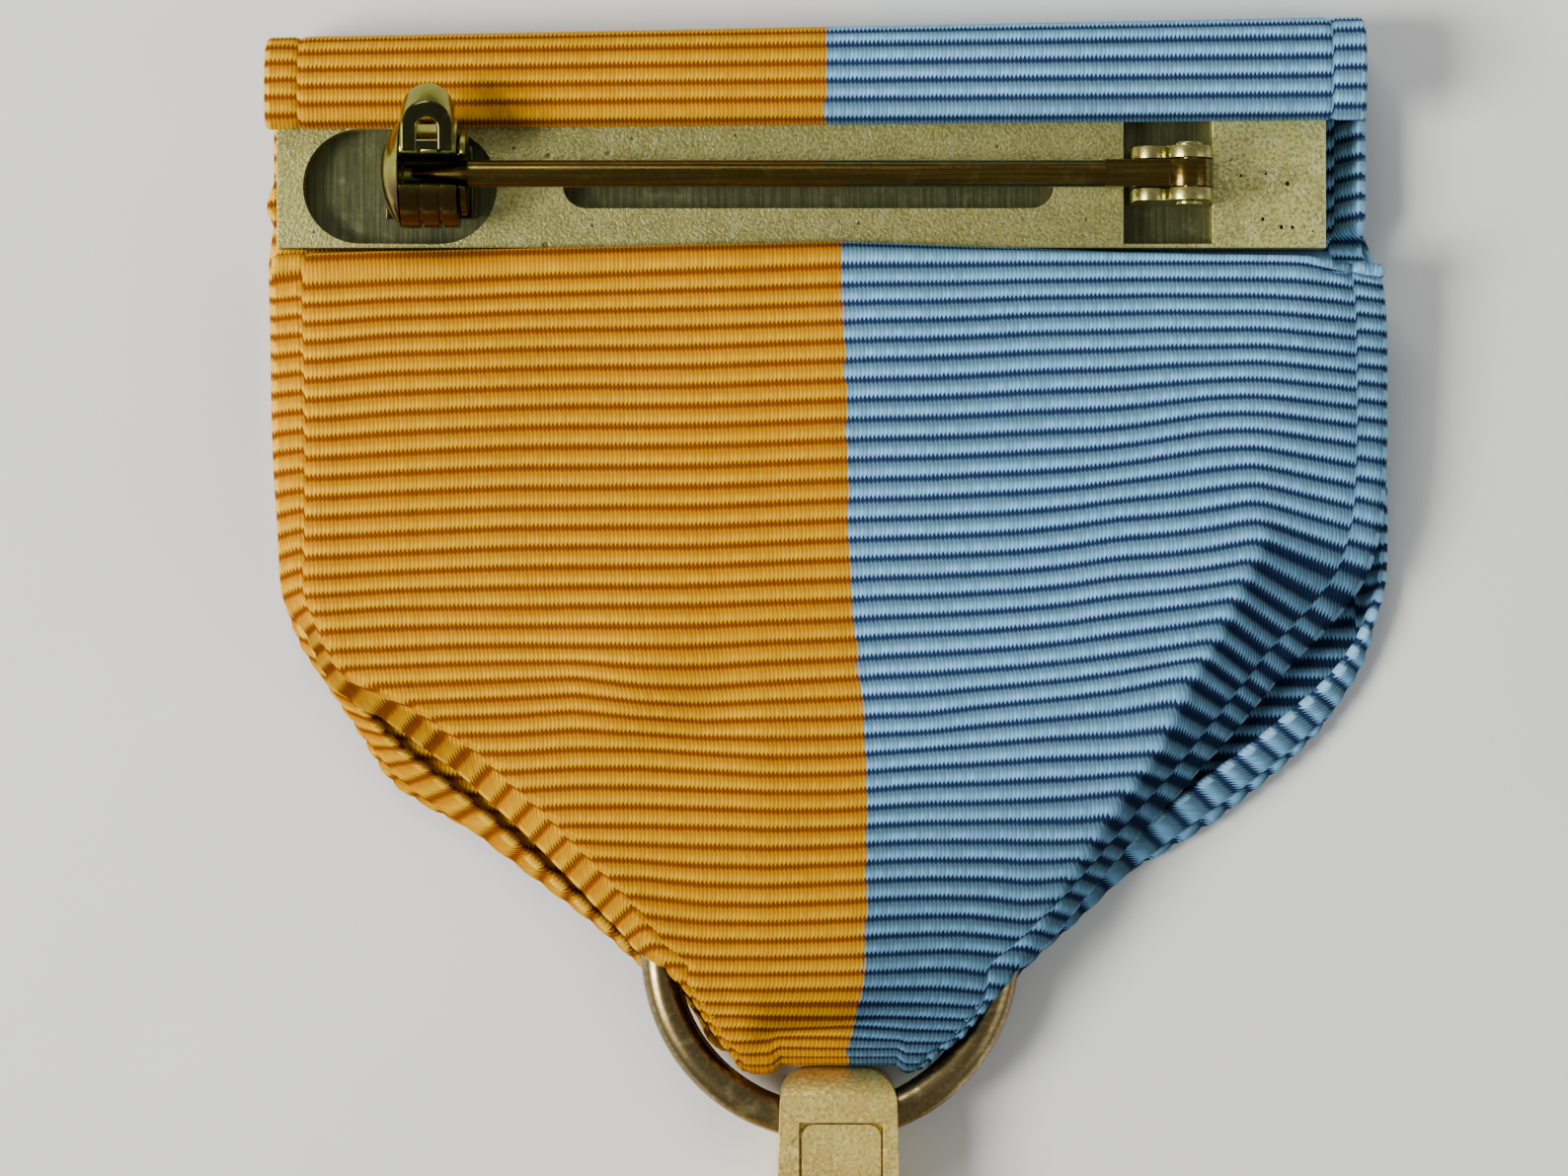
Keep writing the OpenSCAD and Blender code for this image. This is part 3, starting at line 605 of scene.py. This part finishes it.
def ribbon_material():
    m = Mat("ribbed_silk")
    R, T, E, FL, DN = m.attr("rib"), m.attr("thread"), m.attr("edge"), m.attr("flap"), m.attr("down")
    band = m.ramp(E, BAND + 0.05, BAND - 0.05)
    rb = m.math("ADD", R, m.math("MULTIPLY", band, 0.42))
    f = m.math("MULTIPLY", m.math("SUBTRACT", m.math("FRACT", rb), 0.5), 2.0)  # -1..1, valleys at the ends
    g = m.math("MULTIPLY", f, DN)  # +1 at a ridge's lower valley
    tn = m.math("DIVIDE", T, 0.131)
    tooth = m.math("MULTIPLY", m.math("PINGPONG", tn, 0.5), 2.0)
    cell = m.n("ShaderNodeCombineXYZ", ins={"X": m.math("FLOOR", tn), "Y": m.math("FLOOR", rb)}).outputs[0]
    rnd = m.n("ShaderNodeTexWhiteNoise", noise_dimensions="2D", ins={"Vector": cell}).outputs["Value"]
    thr = m.n("ShaderNodeTexWhiteNoise", noise_dimensions="1D", ins={"W": m.math("FLOOR", tn)}).outputs["Value"]
    jag = m.math("ADD", m.math("MULTIPLY", m.math("SUBTRACT", tooth, 0.5), 0.46),
                 m.math("MULTIPLY", m.math("SUBTRACT", rnd, 0.5), 0.10))
    # painted shade: where the flap mask is set, the dark valleys widen
    wide = m.math("MULTIPLY", FL, 0.20)
    lower = m.ramp(m.math("ADD", m.math("ADD", g, jag), wide), 0.52, 0.74)
    upper = m.ramp(m.math("ADD", m.math("SUBTRACT", m.math("MULTIPLY", jag, 0.5), g), wide), 0.58, 0.92)
    valley = m.math("MAXIMUM", lower, upper)
    # painted highlight: each ridge's lower side is painted brighter, as silk sheen
    lit = m.math("MULTIPLY", m.ramp(g, -0.55, 0.40), m.ramp(rnd, 0.0, 1.0, 0.55, 1.0))
    big = m.noise(m.mapped(), 260, 3)
    fine = m.noise(m.mapped((1, 1, 1)), 9000, 2)
    o_mid = m.mix(m.ramp(big, 0.3, 0.7), (0.42, 0.160, 0.0006, 1), (0.49, 0.200, 0.0008, 1))
    o_top = m.mix(lit, o_mid, (0.66, 0.345, 0.0006, 1))
    # painted shade: the rib valleys take a much darker colour than the ridges, in orange and in blue
    o_col = m.mix(valley, o_top, (0.195, 0.048, 0.0003, 1))
    b_mid = m.mix(m.ramp(big, 0.3, 0.7), (0.080, 0.172, 0.235, 1), (0.098, 0.205, 0.290, 1))
    b_top = m.mix(lit, b_mid, (0.22, 0.52, 0.86, 1))
    b_col = m.mix(valley, b_top, (0.016, 0.031, 0.082, 1))
    side = m.ramp(m.math("ADD", T, m.math("MULTIPLY", m.math("SUBTRACT", rnd, 0.5), 0.10)), -0.02, 0.02)
    # painted highlight: the selvedge's last threads are painted bright between the ribs
    selvedge_glint = m.math("MULTIPLY", m.ramp(E, 0.20, 0.13), m.ramp(m.math("ABSOLUTE", f), 0.62, 0.40, 0.0, 0.6))
    o_col = m.mix(selvedge_glint, o_col, (0.95, 0.56, 0.045, 1))
    b_col = m.mix(selvedge_glint, b_col, (0.36, 0.66, 0.92, 1))
    col = m.mix(side, o_col, b_col)
    shade = m.math("ADD", 0.86, m.math("ADD", m.math("MULTIPLY", thr, 0.12), m.math("MULTIPLY", fine, 0.14)))
    # painted shade: darker on the flaps, in the tip's wrinkle and on the front layer's inner face
    shade = m.math("MULTIPLY", shade, m.math("SUBTRACT", 1.0, m.math("MULTIPLY", FL, 0.52)))
    # the blue darkens a little towards the tip
    up = m.n("ShaderNodeSeparateXYZ", ins={"Vector": m.obj()}).outputs["Y"]
    shade = m.math("MULTIPLY", shade, m.math("SUBTRACT", 1.0, m.math(
        "MULTIPLY", m.ramp(up, 0.015, 0.003), m.math("ADD", 0.14, m.math("MULTIPLY", side, 0.44)))))
    tint = m.n("ShaderNodeCombineColor", ins={"Red": shade, "Green": shade, "Blue": shade}).outputs[0]
    col = m.mix(1.0, col, tint, "MULTIPLY")
    height = m.math("ADD", m.math("MULTIPLY", tooth, 0.75), m.math("MULTIPLY", rnd, 0.25))
    rough = m.ramp(m.math("ADD", m.math("MULTIPLY", valley, 0.5), m.math("MULTIPLY", rnd, 0.4)), 0.0, 1.0, 0.38, 0.66)
    m.set(**{"Base Color": col, "Roughness": rough, "Specular IOR Level": 0.0, "Metallic": 0.10,
             "Normal": m.bump(height, 0.022 * MM, 0.9)})
    return m.m


def metal(name, base, dark, rough=(0.3, 0.5), grain=0.0, grain_size=0.15, brushed=None, blotch=0.35, pits=0.0,
          bright=None, bump_mm=0.012, specks=(), painted_dark_below=None, across=None):
    """Worn metal: colour drifts between base and dark, with grain, brush lines, pits and specks, and can be painted
    darker below a height (painted reflection) and towards low X (painted light).
    """
    m = Mat(name)
    vec = m.mapped()
    big = m.noise(vec, 420, 5, 0.6, 0.4)
    mid = m.noise(vec, 1900, 4, 0.6)
    g = m.noise(vec, 1.0 / (grain_size * MM), 2, 0.75)
    col = m.mix(m.ramp(big, 0.5 - blotch * 0.5, 0.5 + blotch * 0.5), m.mix(0.5, dark, base), base)
    col = m.mix(m.ramp(mid, 0.52, 0.72, 0, 0.5), col, bright or base)
    col = m.mix(m.ramp(g, 0.34, 0.52, min(0.85, 0.85 * grain), 0.0), col, dark)
    col = m.mix(m.ramp(g, 0.54, 0.70, 0.0, min(0.8, 0.8 * grain)), col, bright or base)
    height = m.math("MULTIPLY", g, grain + 0.12)
    if brushed:
        lines = m.noise(m.mapped(brushed), 9000, 3, 0.7)
        col = m.mix(m.ramp(lines, 0.4, 0.62, 0.6, 0.0), col, dark)
        height = m.math("ADD", height, m.math("MULTIPLY", lines, 0.9))
    if pits:
        pv = m.voronoi(vec, 1500)
        pit = m.math("MULTIPLY", m.ramp(pv, 0.22, 0.08), m.ramp(m.noise(vec, 700, 2), 0.60, 0.66))
        col = m.mix(m.math("MULTIPLY", pit, pits), col, (0.02, 0.018, 0.012, 1))
        height = m.math("SUBTRACT", height, pit)
    for x, y, size in specks:
        there = m.n("ShaderNodeVectorMath", operation="DISTANCE",
                    ins={0: m.n("ShaderNodeVectorMath", operation="MULTIPLY", ins={0: m.obj(), 1: (1, 1, 0)}).outputs[0],
                         1: (x * MM, y * MM, 0)}).outputs["Value"]
        spot = m.ramp(m.math("ADD", there, m.math("MULTIPLY", m.math("SUBTRACT", mid, 0.5), 0.35 * size * MM)),
                      size * MM, size * 0.6 * MM)
        col = m.mix(spot, col, (0.016, 0.013, 0.008, 1))
        height = m.math("SUBTRACT", height, spot)
    # painted reflection: darker below a height, from y1 down to y0
    if painted_dark_below:
        y0, y1, tint, much = painted_dark_below
        up = m.n("ShaderNodeSeparateXYZ", ins={"Vector": m.obj()}).outputs["Y"]
        here = m.math("ADD", up, m.math("MULTIPLY", m.math("SUBTRACT", big, 0.5), 0.5 * MM))
        col = m.mix(m.ramp(here, y1 * MM, y0 * MM, 0.0, much), col, tint)
    # painted light: darker towards low X, from x1 down to x0, so the far end reads lighter
    if across:
        x0, x1, tint, much = across
        along = m.n("ShaderNodeSeparateXYZ", ins={"Vector": m.obj()}).outputs["X"]
        here = m.math("ADD", along, m.math("MULTIPLY", m.math("SUBTRACT", big, 0.5), 2.5 * MM))
        col = m.mix(m.ramp(here, x1 * MM, x0 * MM, 0.0, much), col, tint)
    r = m.ramp(m.math("ADD", m.math("MULTIPLY", big, 0.6), m.math("MULTIPLY", g, 0.4)), 0.3, 0.7, rough[1], rough[0])
    m.set(**{"Base Color": col, "Metallic": 1.0, "Roughness": r, "Normal": m.bump(height, bump_mm * MM, 0.8)})
    return m.m


def speck_at(x, y, size):
    p = px(x, y, 2.65)
    return (p[0], p[1], size)


MAT = {
    "ribbon": ribbon_material(),
    # painted light: the plate is painted darker left of X 9.6 to 11.6 mm, leaving its right end lighter
    "plate": metal("pitted_bronze_plate", (0.72, 0.70, 0.245, 1), (0.20, 0.180, 0.055, 1), (0.40, 0.54), grain=0.9,
                   grain_size=0.105, pits=0.8, blotch=0.22, bright=(0.97, 0.97, 0.54, 1), bump_mm=0.030,
                   across=(9.6, 11.6, (0.22, 0.205, 0.064, 1), 0.50),
                   specks=[speck_at(*v) for v in (
                       (1257, 178, 0.055), (1282, 176, 0.05), (1304, 186, 0.085), (1279, 222, 0.07), (1298, 230, 0.08),
                       (1309, 230, 0.07), (1330, 234, 0.04), (640, 140, 0.06), (745, 137, 0.05), (870, 226, 0.06),
                       (1010, 148, 0.05), (600, 228, 0.07), (1100, 222, 0.05), (318, 235, 0.06), (520, 150, 0.06))]),
    # painted highlight: a much lighter copy of the plate for the top bevels facing right and down
    "plate_edge": metal("plate_bevel_painted_highlight", (0.93, 0.90, 0.50, 1), (0.55, 0.52, 0.22, 1), (0.30, 0.42), grain=0.4,
                        grain_size=0.15, blotch=0.6, bright=(0.98, 0.96, 0.66, 1), bump_mm=0.02),
    "inner": metal("brushed_plate", (0.150, 0.157, 0.072, 1), (0.052, 0.054, 0.025, 1), (0.38, 0.52),
                   brushed=(1, 0.03, 1), blotch=0.5, bright=(0.27, 0.28, 0.14, 1), bump_mm=0.012),
    "pin": metal("copper_brown_pin", (0.15, 0.105, 0.022, 1), (0.050, 0.027, 0.008, 1), (0.16, 0.30),
                 brushed=(0.02, 1, 1), blotch=0.5, bright=(0.22, 0.195, 0.040, 1), bump_mm=0.004),
    "ears": metal("crimped_bronze", (0.42, 0.39, 0.125, 1), (0.13, 0.11, 0.035, 1), (0.22, 0.36), grain=0.5,
                  grain_size=0.12, blotch=0.5, bright=(0.70, 0.68, 0.30, 1), bump_mm=0.012),
    # painted reflection: the catch is painted dark brown below Y 30.2 to 29.3 mm
    "brass": metal("brass_painted_dark_below", (0.30, 0.300, 0.052, 1), (0.085, 0.060, 0.014, 1), (0.10, 0.24), blotch=0.5,
                   bright=(0.42, 0.41, 0.10, 1), bump_mm=0.005, painted_dark_below=(29.3, 30.2, (0.050, 0.022, 0.008, 1), 0.9)),
    # painted shade: a near-black copy of the brass for the lever's upward face
    "lever_face": metal("lever_face_painted_shade", (0.060, 0.062, 0.022, 1), (0.018, 0.016, 0.008, 1), (0.10, 0.22),
                        blotch=0.5, bright=(0.10, 0.11, 0.045, 1), bump_mm=0.005),
    "ring": metal("dark_bronze_wire", (0.245, 0.180, 0.075, 1), (0.075, 0.050, 0.022, 1), (0.20, 0.34), grain=0.35,
                  grain_size=0.16, blotch=0.7, bright=(0.52, 0.41, 0.18, 1), bump_mm=0.010),
    "pendant": metal("satin_gold_bronze", (0.76, 0.585, 0.165, 1), (0.34, 0.24, 0.070, 1), (0.46, 0.60), grain=0.8,
                     grain_size=0.13, blotch=0.26, bright=(0.95, 0.80, 0.32, 1), pits=0.7, bump_mm=0.018),
}
ribbon.data.materials.append(MAT["ribbon"])


# ------------------------------------------------------------------ metal pieces
def softened(node, name, width, mat, segments=3, angle=32, reshape=None, second=None):
    """A copy of a CAD node with its edges rounded over, which stands for the node."""
    src = frame["nodes"][node]
    bm = bmesh.new()
    bm.from_mesh(src.data)
    bmesh.ops.remove_doubles(bm, verts=bm.verts, dist=1e-6)
    bmesh.ops.dissolve_limit(bm, angle_limit=math.radians(0.4), verts=bm.verts, edges=bm.edges)
    bmesh.ops.recalc_face_normals(bm, faces=bm.faces)
    me = bpy.data.meshes.new(name)
    bm.to_mesh(me)
    bm.free()
    me.materials.clear()
    me.materials.append(MAT[mat])
    o = new_object(name, me)
    mod = o.modifiers.new("soft_edges", "BEVEL")
    mod.width, mod.segments, mod.limit_method, mod.angle_limit = width * MM, segments, "ANGLE", math.radians(angle)
    mod.use_clamp_overlap, mod.harden_normals, mod.miter_outer = True, False, "MITER_ARC"
    dg = bpy.context.evaluated_depsgraph_get()
    dg.update()
    fin = bpy.data.meshes.new_from_object(o.evaluated_get(dg))
    o.modifiers.clear()
    o.data = fin
    fin.name = name
    if reshape:
        co = np.empty(len(fin.vertices) * 3)
        fin.vertices.foreach_get("co", co)
        co = reshape(co.reshape(-1, 3) / MM) * MM
        fin.vertices.foreach_set("co", co.ravel())
        fin.update()
    for p in fin.polygons:
        p.use_smooth = True
    if second:
        fin.materials.append(MAT[second[0]])
        for p in fin.polygons:
            if second[1](np.array(p.center) / MM, p.normal):
                p.material_index = 1
    fin.set_sharp_from_angle(angle=math.radians(40))
    flat = o.modifiers.new("flat_faces", "WEIGHTED_NORMAL")
    flat.mode, flat.weight, flat.keep_sharp = "FACE_AREA", 100, True
    dg.update()
    fin2 = bpy.data.meshes.new_from_object(o.evaluated_get(dg))
    o.modifiers.clear()
    o.data = fin2
    fin2.name = name
    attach(o, src["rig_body"])
    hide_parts(node)
    return o


DRUM_Y, DRUM_Z, DRUM_R = 30.12, 4.10, 1.70


def round_drum(v):
    """The drum alone: the flat CAD lever is drawn in to its rim, where the shaped lever stands instead."""
    out = v.copy()
    dy, dz = v[:, 1] - DRUM_Y, v[:, 2] - DRUM_Z
    r = np.hypot(dy, dz)
    on = (r > DRUM_R + 0.01) & (dy > 0)
    k = (DRUM_R - 0.02) / r[on]
    out[on, 1], out[on, 2] = DRUM_Y + dy[on] * k, DRUM_Z + dz[on] * k
    return out


def lever_mesh():
    """The catch's looped lever: a rounded band bent into a U, its face to the back, leaning on the drum."""
    cx, half, rad, foot = -12.29, 0.255, 0.565, 0.0
    lean, fy, fz = math.radians(7), 30.66, 5.70
    path = [(rad, u) for u in np.linspace(foot, 0.70, 9)]
    path += [(rad * math.cos(a), 0.70 + rad * math.sin(a)) for a in np.linspace(0, math.pi, 25)[1:-1]]
    path += [(-rad, u) for u in np.linspace(0.70, foot, 9)]
    corner, prof = 0.10, []
    for sx, sq, a0 in ((1, 0, 0), (-1, 0, 90), (-1, 1, 180), (1, 1, 270)):
        for a in np.linspace(a0, a0 + 90, 5):
            # p runs outward from the band's middle line, q from the face down its side
            prof.append((sx * (half - corner) + corner * math.cos(math.radians(a)),
                         (corner if sq == 0 else 0.98 - corner) - corner * math.sin(math.radians(a))))
    vs, fs, nw = [], [], len(prof)
    for i, (x, u) in enumerate(path):
        j0, j1 = max(i - 1, 0), min(i + 1, len(path) - 1)
        tx, tu = path[j1][0] - path[j0][0], path[j1][1] - path[j0][1]
        ln = math.hypot(tx, tu)
        ox, ou = tu / ln, -tx / ln
        for p, q in prof:
            lx, lu = x + ox * p, u + ou * p
            vs.append((cx + lx, fy + lu * math.cos(lean) + 0.70 * q, fz + lu * math.sin(lean) - 0.66 * q))
    for i in range(len(path) - 1):
        for j in range(nw):
            k = (j + 1) % nw
            fs.append((i * nw + j, i * nw + k, (i + 1) * nw + k, (i + 1) * nw + j))
    fs.append(tuple(range(nw))[::-1])
    fs.append(tuple((len(path) - 1) * nw + j for j in range(nw)))
    # the foot that joins its two legs
    b = len(vs)
    foot_path = [(x, 0.12) for x in np.linspace(-0.70, 0.70, 8)]
    for x, u in foot_path:
        for p, q in prof:
            vs.append((cx + x, fy + (u + p * 0.9) * math.cos(lean) + 0.60 * q, fz + (u + p * 0.9) * math.sin(lean) - 0.66 * q - 0.02))
    for i in range(len(foot_path) - 1):
        for j in range(nw):
            k = (j + 1) % nw
            fs.append((b + i * nw + j, b + i * nw + k, b + (i + 1) * nw + k, b + (i + 1) * nw + j))
    fs.append(tuple(b + j for j in range(nw))[::-1])
    fs.append(tuple(b + (len(foot_path) - 1) * nw + j for j in range(nw)))
    me = mesh_from("catch_lever", [(x * MM, y * MM, z * MM) for x, y, z in vs], fs)
    bm = bmesh.new()
    bm.from_mesh(me)
    bmesh.ops.recalc_face_normals(bm, faces=bm.faces)
    bm.to_mesh(me)
    bm.free()
    me.update()
    return me


def lever_face(c, n):
    return n.z > 0.86


# the plate's top bevels facing +X or -Y take the painted highlight
softened("back_plate", "back_plate_sheet", 0.09, "plate",
         second=("plate_edge", lambda c, n: c[2] > 2.5 and 0.15 < n.z < 0.97 and (n.x > 0.2 or n.y < -0.2)))
softened("inner_plate", "inner_plate_sheet", 0.05, "inner")
softened("joint_bracket", "joint_ears", 0.05, "ears")
softened("joint_rivet", "joint_rivet_pin", 0.04, "ears")
softened("pin_stem", "pin_wire", 0.08, "pin")
softened("catch_body", "catch_housing", 0.05, "brass")
drum = softened("catch_rotor", "catch_drum", 0.05, "brass", reshape=round_drum)
lever = new_object("catch_lever", lever_mesh())
lever.data.materials.append(MAT["brass"])
lever.data.materials.append(MAT["lever_face"])
# the lever's upward face takes the painted-shade copy of the brass
for p in lever.data.polygons:
    if lever_face(p.center, p.normal):
        p.material_index = 1
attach(lever, frame["nodes"]["catch_rotor"]["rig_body"])
softened("suspension_lug", "lug_block", 0.12, "pendant")
softened("lug_tongue", "lug_inlay", 0.06, "pendant")


# ring: drawn wire, very slightly out of round
def ring_mesh():
    cx, cy, cz, R, r = 0.17, 5.68, 1.5, 5.4, 0.6
    nu, nw = 192, 32
    vs, fs = [], []
    for i in range(nu):
        a = 2 * math.pi * i / nu
        rr = R + 0.004 * math.sin(3 * a + 1.0)
        for j in range(nw):
            b = 2 * math.pi * j / nw
            w = r * 0.995 + 0.004 * math.sin(5 * a + 2 * b)
            vs.append(((cx + (rr + w * math.cos(b)) * math.cos(a)) * MM, (cy + (rr + w * math.cos(b)) * math.sin(a)) * MM,
                       (cz + w * math.sin(b)) * MM))
            i2, j2 = (i + 1) % nu, (j + 1) % nw
            fs.append((i * nw + j, i2 * nw + j, i2 * nw + j2, i * nw + j2))
    return mesh_from("ring", vs, fs)


ring = new_object("ring_wire", ring_mesh())
ring.data.materials.append(MAT["ring"])
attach(ring, "ring")
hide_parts("suspension_ring")

# ------------------------------------------------------------------ medallion
DX, DY, DR, DT, RIM = 0.40, -19.19, 16.0, 2.55, 1.1


def star_field(x, y, ro, ri, n=5, turn=math.pi / 2):
    """Height of a faceted star: 1 at the middle, 0 at its outline and outside."""
    a = (np.arctan2(y, x) - turn) % (2 * math.pi / n)
    a = np.minimum(a, 2 * math.pi / n - a)
    r = np.hypot(x, y)
    px_, py_ = r * np.cos(a), r * np.sin(a)
    ax, ay = ro, 0.0
    bx, by = ri * math.cos(math.pi / n), ri * math.sin(math.pi / n)
    nx, ny = (by - ay), -(bx - ax)
    ln = math.hypot(nx, ny)
    d = ((px_ - ax) * nx + (py_ - ay) * ny) / ln
    d0 = ((0 - ax) * nx + (0 - ay) * ny) / ln
    return np.clip(d / d0, 0, 1)


def leaf(x, y, cx, cy, ang, ln, wd):
    c, s = math.cos(ang), math.sin(ang)
    u = (x - cx) * c + (y - cy) * s
    v = -(x - cx) * s + (y - cy) * c
    t = np.clip(u / ln, -0.001, 1.001)
    half = wd * np.sin(math.pi * np.clip(t, 0, 1)) ** 0.75 * (1 - 0.25 * np.clip(t, 0, 1))
    inside = (t > 0) & (t < 1) & (np.abs(v) < half)
    k = np.where(inside, 1 - (np.abs(v) / np.maximum(half, 1e-6)) ** 2, 0)
    vein = np.exp(-((v / 0.07) ** 2)) * 0.35
    return np.where(inside, np.sqrt(np.clip(k, 0, 1)) * (1 - vein), 0)


def relief(x, y, front):
    """Raised design on a face, in mm above the sunk field."""
    r = np.hypot(x, y)
    h = np.zeros_like(x)
    if front:
        h = np.maximum(h, 0.62 * star_field(x, y, 7.2, 2.9) ** 0.9)
        ring_ = np.exp(-(((r - 8.3) / 0.16) ** 2)) * 0.22
        h = np.maximum(h, ring_)
        for k in range(40):
            a = 2 * math.pi * k / 40
            d = np.hypot(x - 9.15 * math.cos(a), y - 9.15 * math.sin(a))
            h = np.maximum(h, 0.22 * np.sqrt(np.clip(1 - (d / 0.30) ** 2, 0, 1)))
        lo, hi, rad = -78, 78, 12.1
    else:
        h = np.maximum(h, 0.20 * (1 - smoothstep(8.0, 8.25, r)))
        h = np.where(r < 7.6, np.maximum(h - 0.10 * (1 - smoothstep(7.4, 7.6, r)), 0), h)
        h = np.maximum(h, 0.42 * star_field(x, y - 0.3, 4.2, 1.7) ** 0.9)
        lo, hi, rad = -80, 80, 11.6
    for sgn in (-1, 1):
        n = 13
        for k in range(n):
            phi = math.radians(-90 + sgn * (12 + 150 * k / (n - 1)))
            bx, by = rad * math.cos(phi), rad * math.sin(phi)
            tang = phi + sgn * math.pi / 2
            for off, ln in ((0.42, 2.5), (-0.42, 2.5), (0.0, 2.2)):
                h = np.maximum(h, 0.34 * leaf(x, y, bx, by, tang + off, ln, 0.52) * (1.0 if off else 1.12))
            if k % 3 == 1:
                bxx, byy = (rad - 0.9) * math.cos(phi + sgn * 0.05), (rad - 0.9) * math.sin(phi + sgn * 0.05)
                d = np.hypot(x - bxx, y - byy)
                h = np.maximum(h, 0.30 * np.sqrt(np.clip(1 - (d / 0.32) ** 2, 0, 1)))
        band_ = (np.abs(r - rad) < 0.12) & (np.abs(np.arctan2(x * sgn, -y)) < math.radians(166)) & (x * sgn > 0)
        h = np.where(band_, np.maximum(h, 0.16), h)
    # tie at the bottom
    d = np.hypot(x / 1.3, y + rad)
    h = np.maximum(h, 0.36 * np.sqrt(np.clip(1 - (d / 0.8) ** 2, 0, 1)))
    return h


def medallion_mesh():
    nr, na = 210, 720
    rr = np.concatenate([np.linspace(0.02, 14.6, nr - 26), np.linspace(14.65, 15.84, 26)])
    aa = np.linspace(0, 2 * math.pi, na, endpoint=False)
    RR, AA = np.meshgrid(rr, aa, indexing="ij")
    x, y = RR * np.cos(AA), RR * np.sin(AA)
    field = 0.45
    edge = smoothstep(DR - RIM - 0.28, DR - RIM + 0.02, RR)
    crown = -0.05 * ((RR - (DR - RIM / 2)) / (RIM / 2)) ** 2 * (RR > DR - RIM)

    def face(front):
        h = relief(x if not front else -x, y, front)
        h = np.minimum(h, field - 0.05)
        soft = h.copy()
        for _ in range(2):
            soft = (np.roll(soft, 1, 1) + 2 * soft + np.roll(soft, -1, 1)) / 4
            mid = soft[1:-1]
            soft[1:-1] = (soft[:-2] + 2 * mid + soft[2:]) / 4
        dome = 0.06 * (1 - (RR / 15) ** 2) * (RR < 15)
        z = -field + dome * 0.5 + soft
        z = np.minimum(z, -0.02)
        return z * (1 - edge) + crown * edge

    zt, zb = DT + face(False), -face(True)
    side_r = [15.93, 15.99, 16.0, 16.0, 16.0, 15.99, 15.93]
    side_z = [DT - 0.06, DT - 0.16, DT - 0.4, DT / 2, 0.4, 0.16, 0.06]
    rows_ = [np.stack([x[i], y[i], zt[i]], 1) for i in range(nr)]
    rows_ += [np.stack([r_ * np.cos(aa), r_ * np.sin(aa), np.full(na, z_)], 1) for r_, z_ in zip(side_r, side_z)]
    rows_ += [np.stack([x[i], y[i], zb[i]], 1) for i in range(nr - 1, -1, -1)]
    V = np.concatenate(rows_)
    V[:, 0] += DX
    V[:, 1] += DY
    V[:, 2] = np.clip(V[:, 2], 0, DT)
    nrow = len(rows_)
    I_, J_ = np.meshgrid(np.arange(nrow - 1), np.arange(na), indexing="ij")
    a_ = (I_ * na + J_).ravel()
    b_ = (I_ * na + (J_ + 1) % na).ravel()
    F_ = np.stack([a_, a_ + na, b_ + na, b_], 1)
    n0 = len(V)
    V = np.concatenate([V, [[DX, DY, zt[0].mean()], [DX, DY, zb[0].mean()]]])
    me = bpy.data.meshes.new("medallion")
    tri1 = [(n0, j, (j + 1) % na) for j in range(na)]
    base = (nrow - 1) * na
    tri2 = [(n0 + 1, base + (j + 1) % na, base + j) for j in range(na)]
    me.from_pydata((V * MM).tolist(), [], F_.tolist() + tri1 + tri2)
    me.validate()
    b = bmesh.new()
    b.from_mesh(me)
    bmesh.ops.recalc_face_normals(b, faces=b.faces)
    b.to_mesh(me)
    b.free()
    me.polygons.foreach_set("use_smooth", [True] * len(me.polygons))
    return me


disc = new_object("medallion_struck", medallion_mesh())
disc.data.materials.append(MAT["pendant"])
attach(disc, "pendant")
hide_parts("medallion")

# ------------------------------------------------------------------ ribbon rides on the brooch
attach(ribbon, "brooch")
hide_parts("ribbon_front_drape", "ribbon_back_drape", "ribbon_bar_wrap", "ribbon_ring_fold")

# ------------------------------------------------------------------ stage
floor_me = mesh_from("floor", [(-1.2, -1.2, -0.00002), (1.2, -1.2, -0.00002), (1.2, 1.2, -0.00002), (-1.2, 1.2, -0.00002)], [(0, 1, 2, 3)], smooth=False)
floor = new_object("floor", floor_me)
fm = Mat("pale_floor")
fm.set(**{"Base Color": fm.mix(fm.ramp(fm.noise(fm.mapped(), 60, 3), 0.3, 0.7), (0.72, 0.72, 0.71, 1), (0.76, 0.76, 0.75, 1)),
          "Roughness": 0.75})
floor.data.materials.append(fm.m)

world = bpy.data.worlds.new("studio")
scene.world = world
world.use_nodes = True
world.node_tree.nodes["Background"].inputs[0].default_value = (0.85, 0.86, 0.84, 1)
world.node_tree.nodes["Background"].inputs[1].default_value = 0.40


def softbox(name, loc, aim, size, power, color=(1, 1, 1)):
    d = bpy.data.lights.new(name, "AREA")
    d.shape, d.size, d.size_y, d.energy, d.color = "RECTANGLE", size[0], size[1], power, color
    o = bpy.data.objects.new(name, d)
    o.location = loc
    o.rotation_euler = (Vector(aim) - Vector(loc)).to_track_quat("-Z", "Y").to_euler()
    scene.collection.objects.link(o)
    return o


softbox("key", (-0.26, -0.03, 0.23), (0, 0.015, 0), (0.12, 0.14), 2.0, (1, 0.985, 0.96))
softbox("top", (-0.10, 0.30, 0.24), (0, 0.015, 0), (0.16, 0.08), 0.50, (1, 1, 0.97))
softbox("fill", (0.28, -0.08, 0.20), (0, 0.015, 0), (0.20, 0.20), 0.22, (0.95, 0.98, 1))

cam_d = bpy.data.cameras.new("camera")
cam_d.sensor_width = 36.0
cam_d.lens = 36.0 * (CAM_Z - FOCUS_Z) / (1588 / SCALE)
cam_d.clip_start, cam_d.clip_end = 0.005, 10
cam = bpy.data.objects.new("camera", cam_d)
cam.location = (CAM_X * MM, CAM_Y * MM, CAM_Z * MM)
cam.rotation_euler = (0, 0, 0)
scene.collection.objects.link(cam)
scene.camera = cam
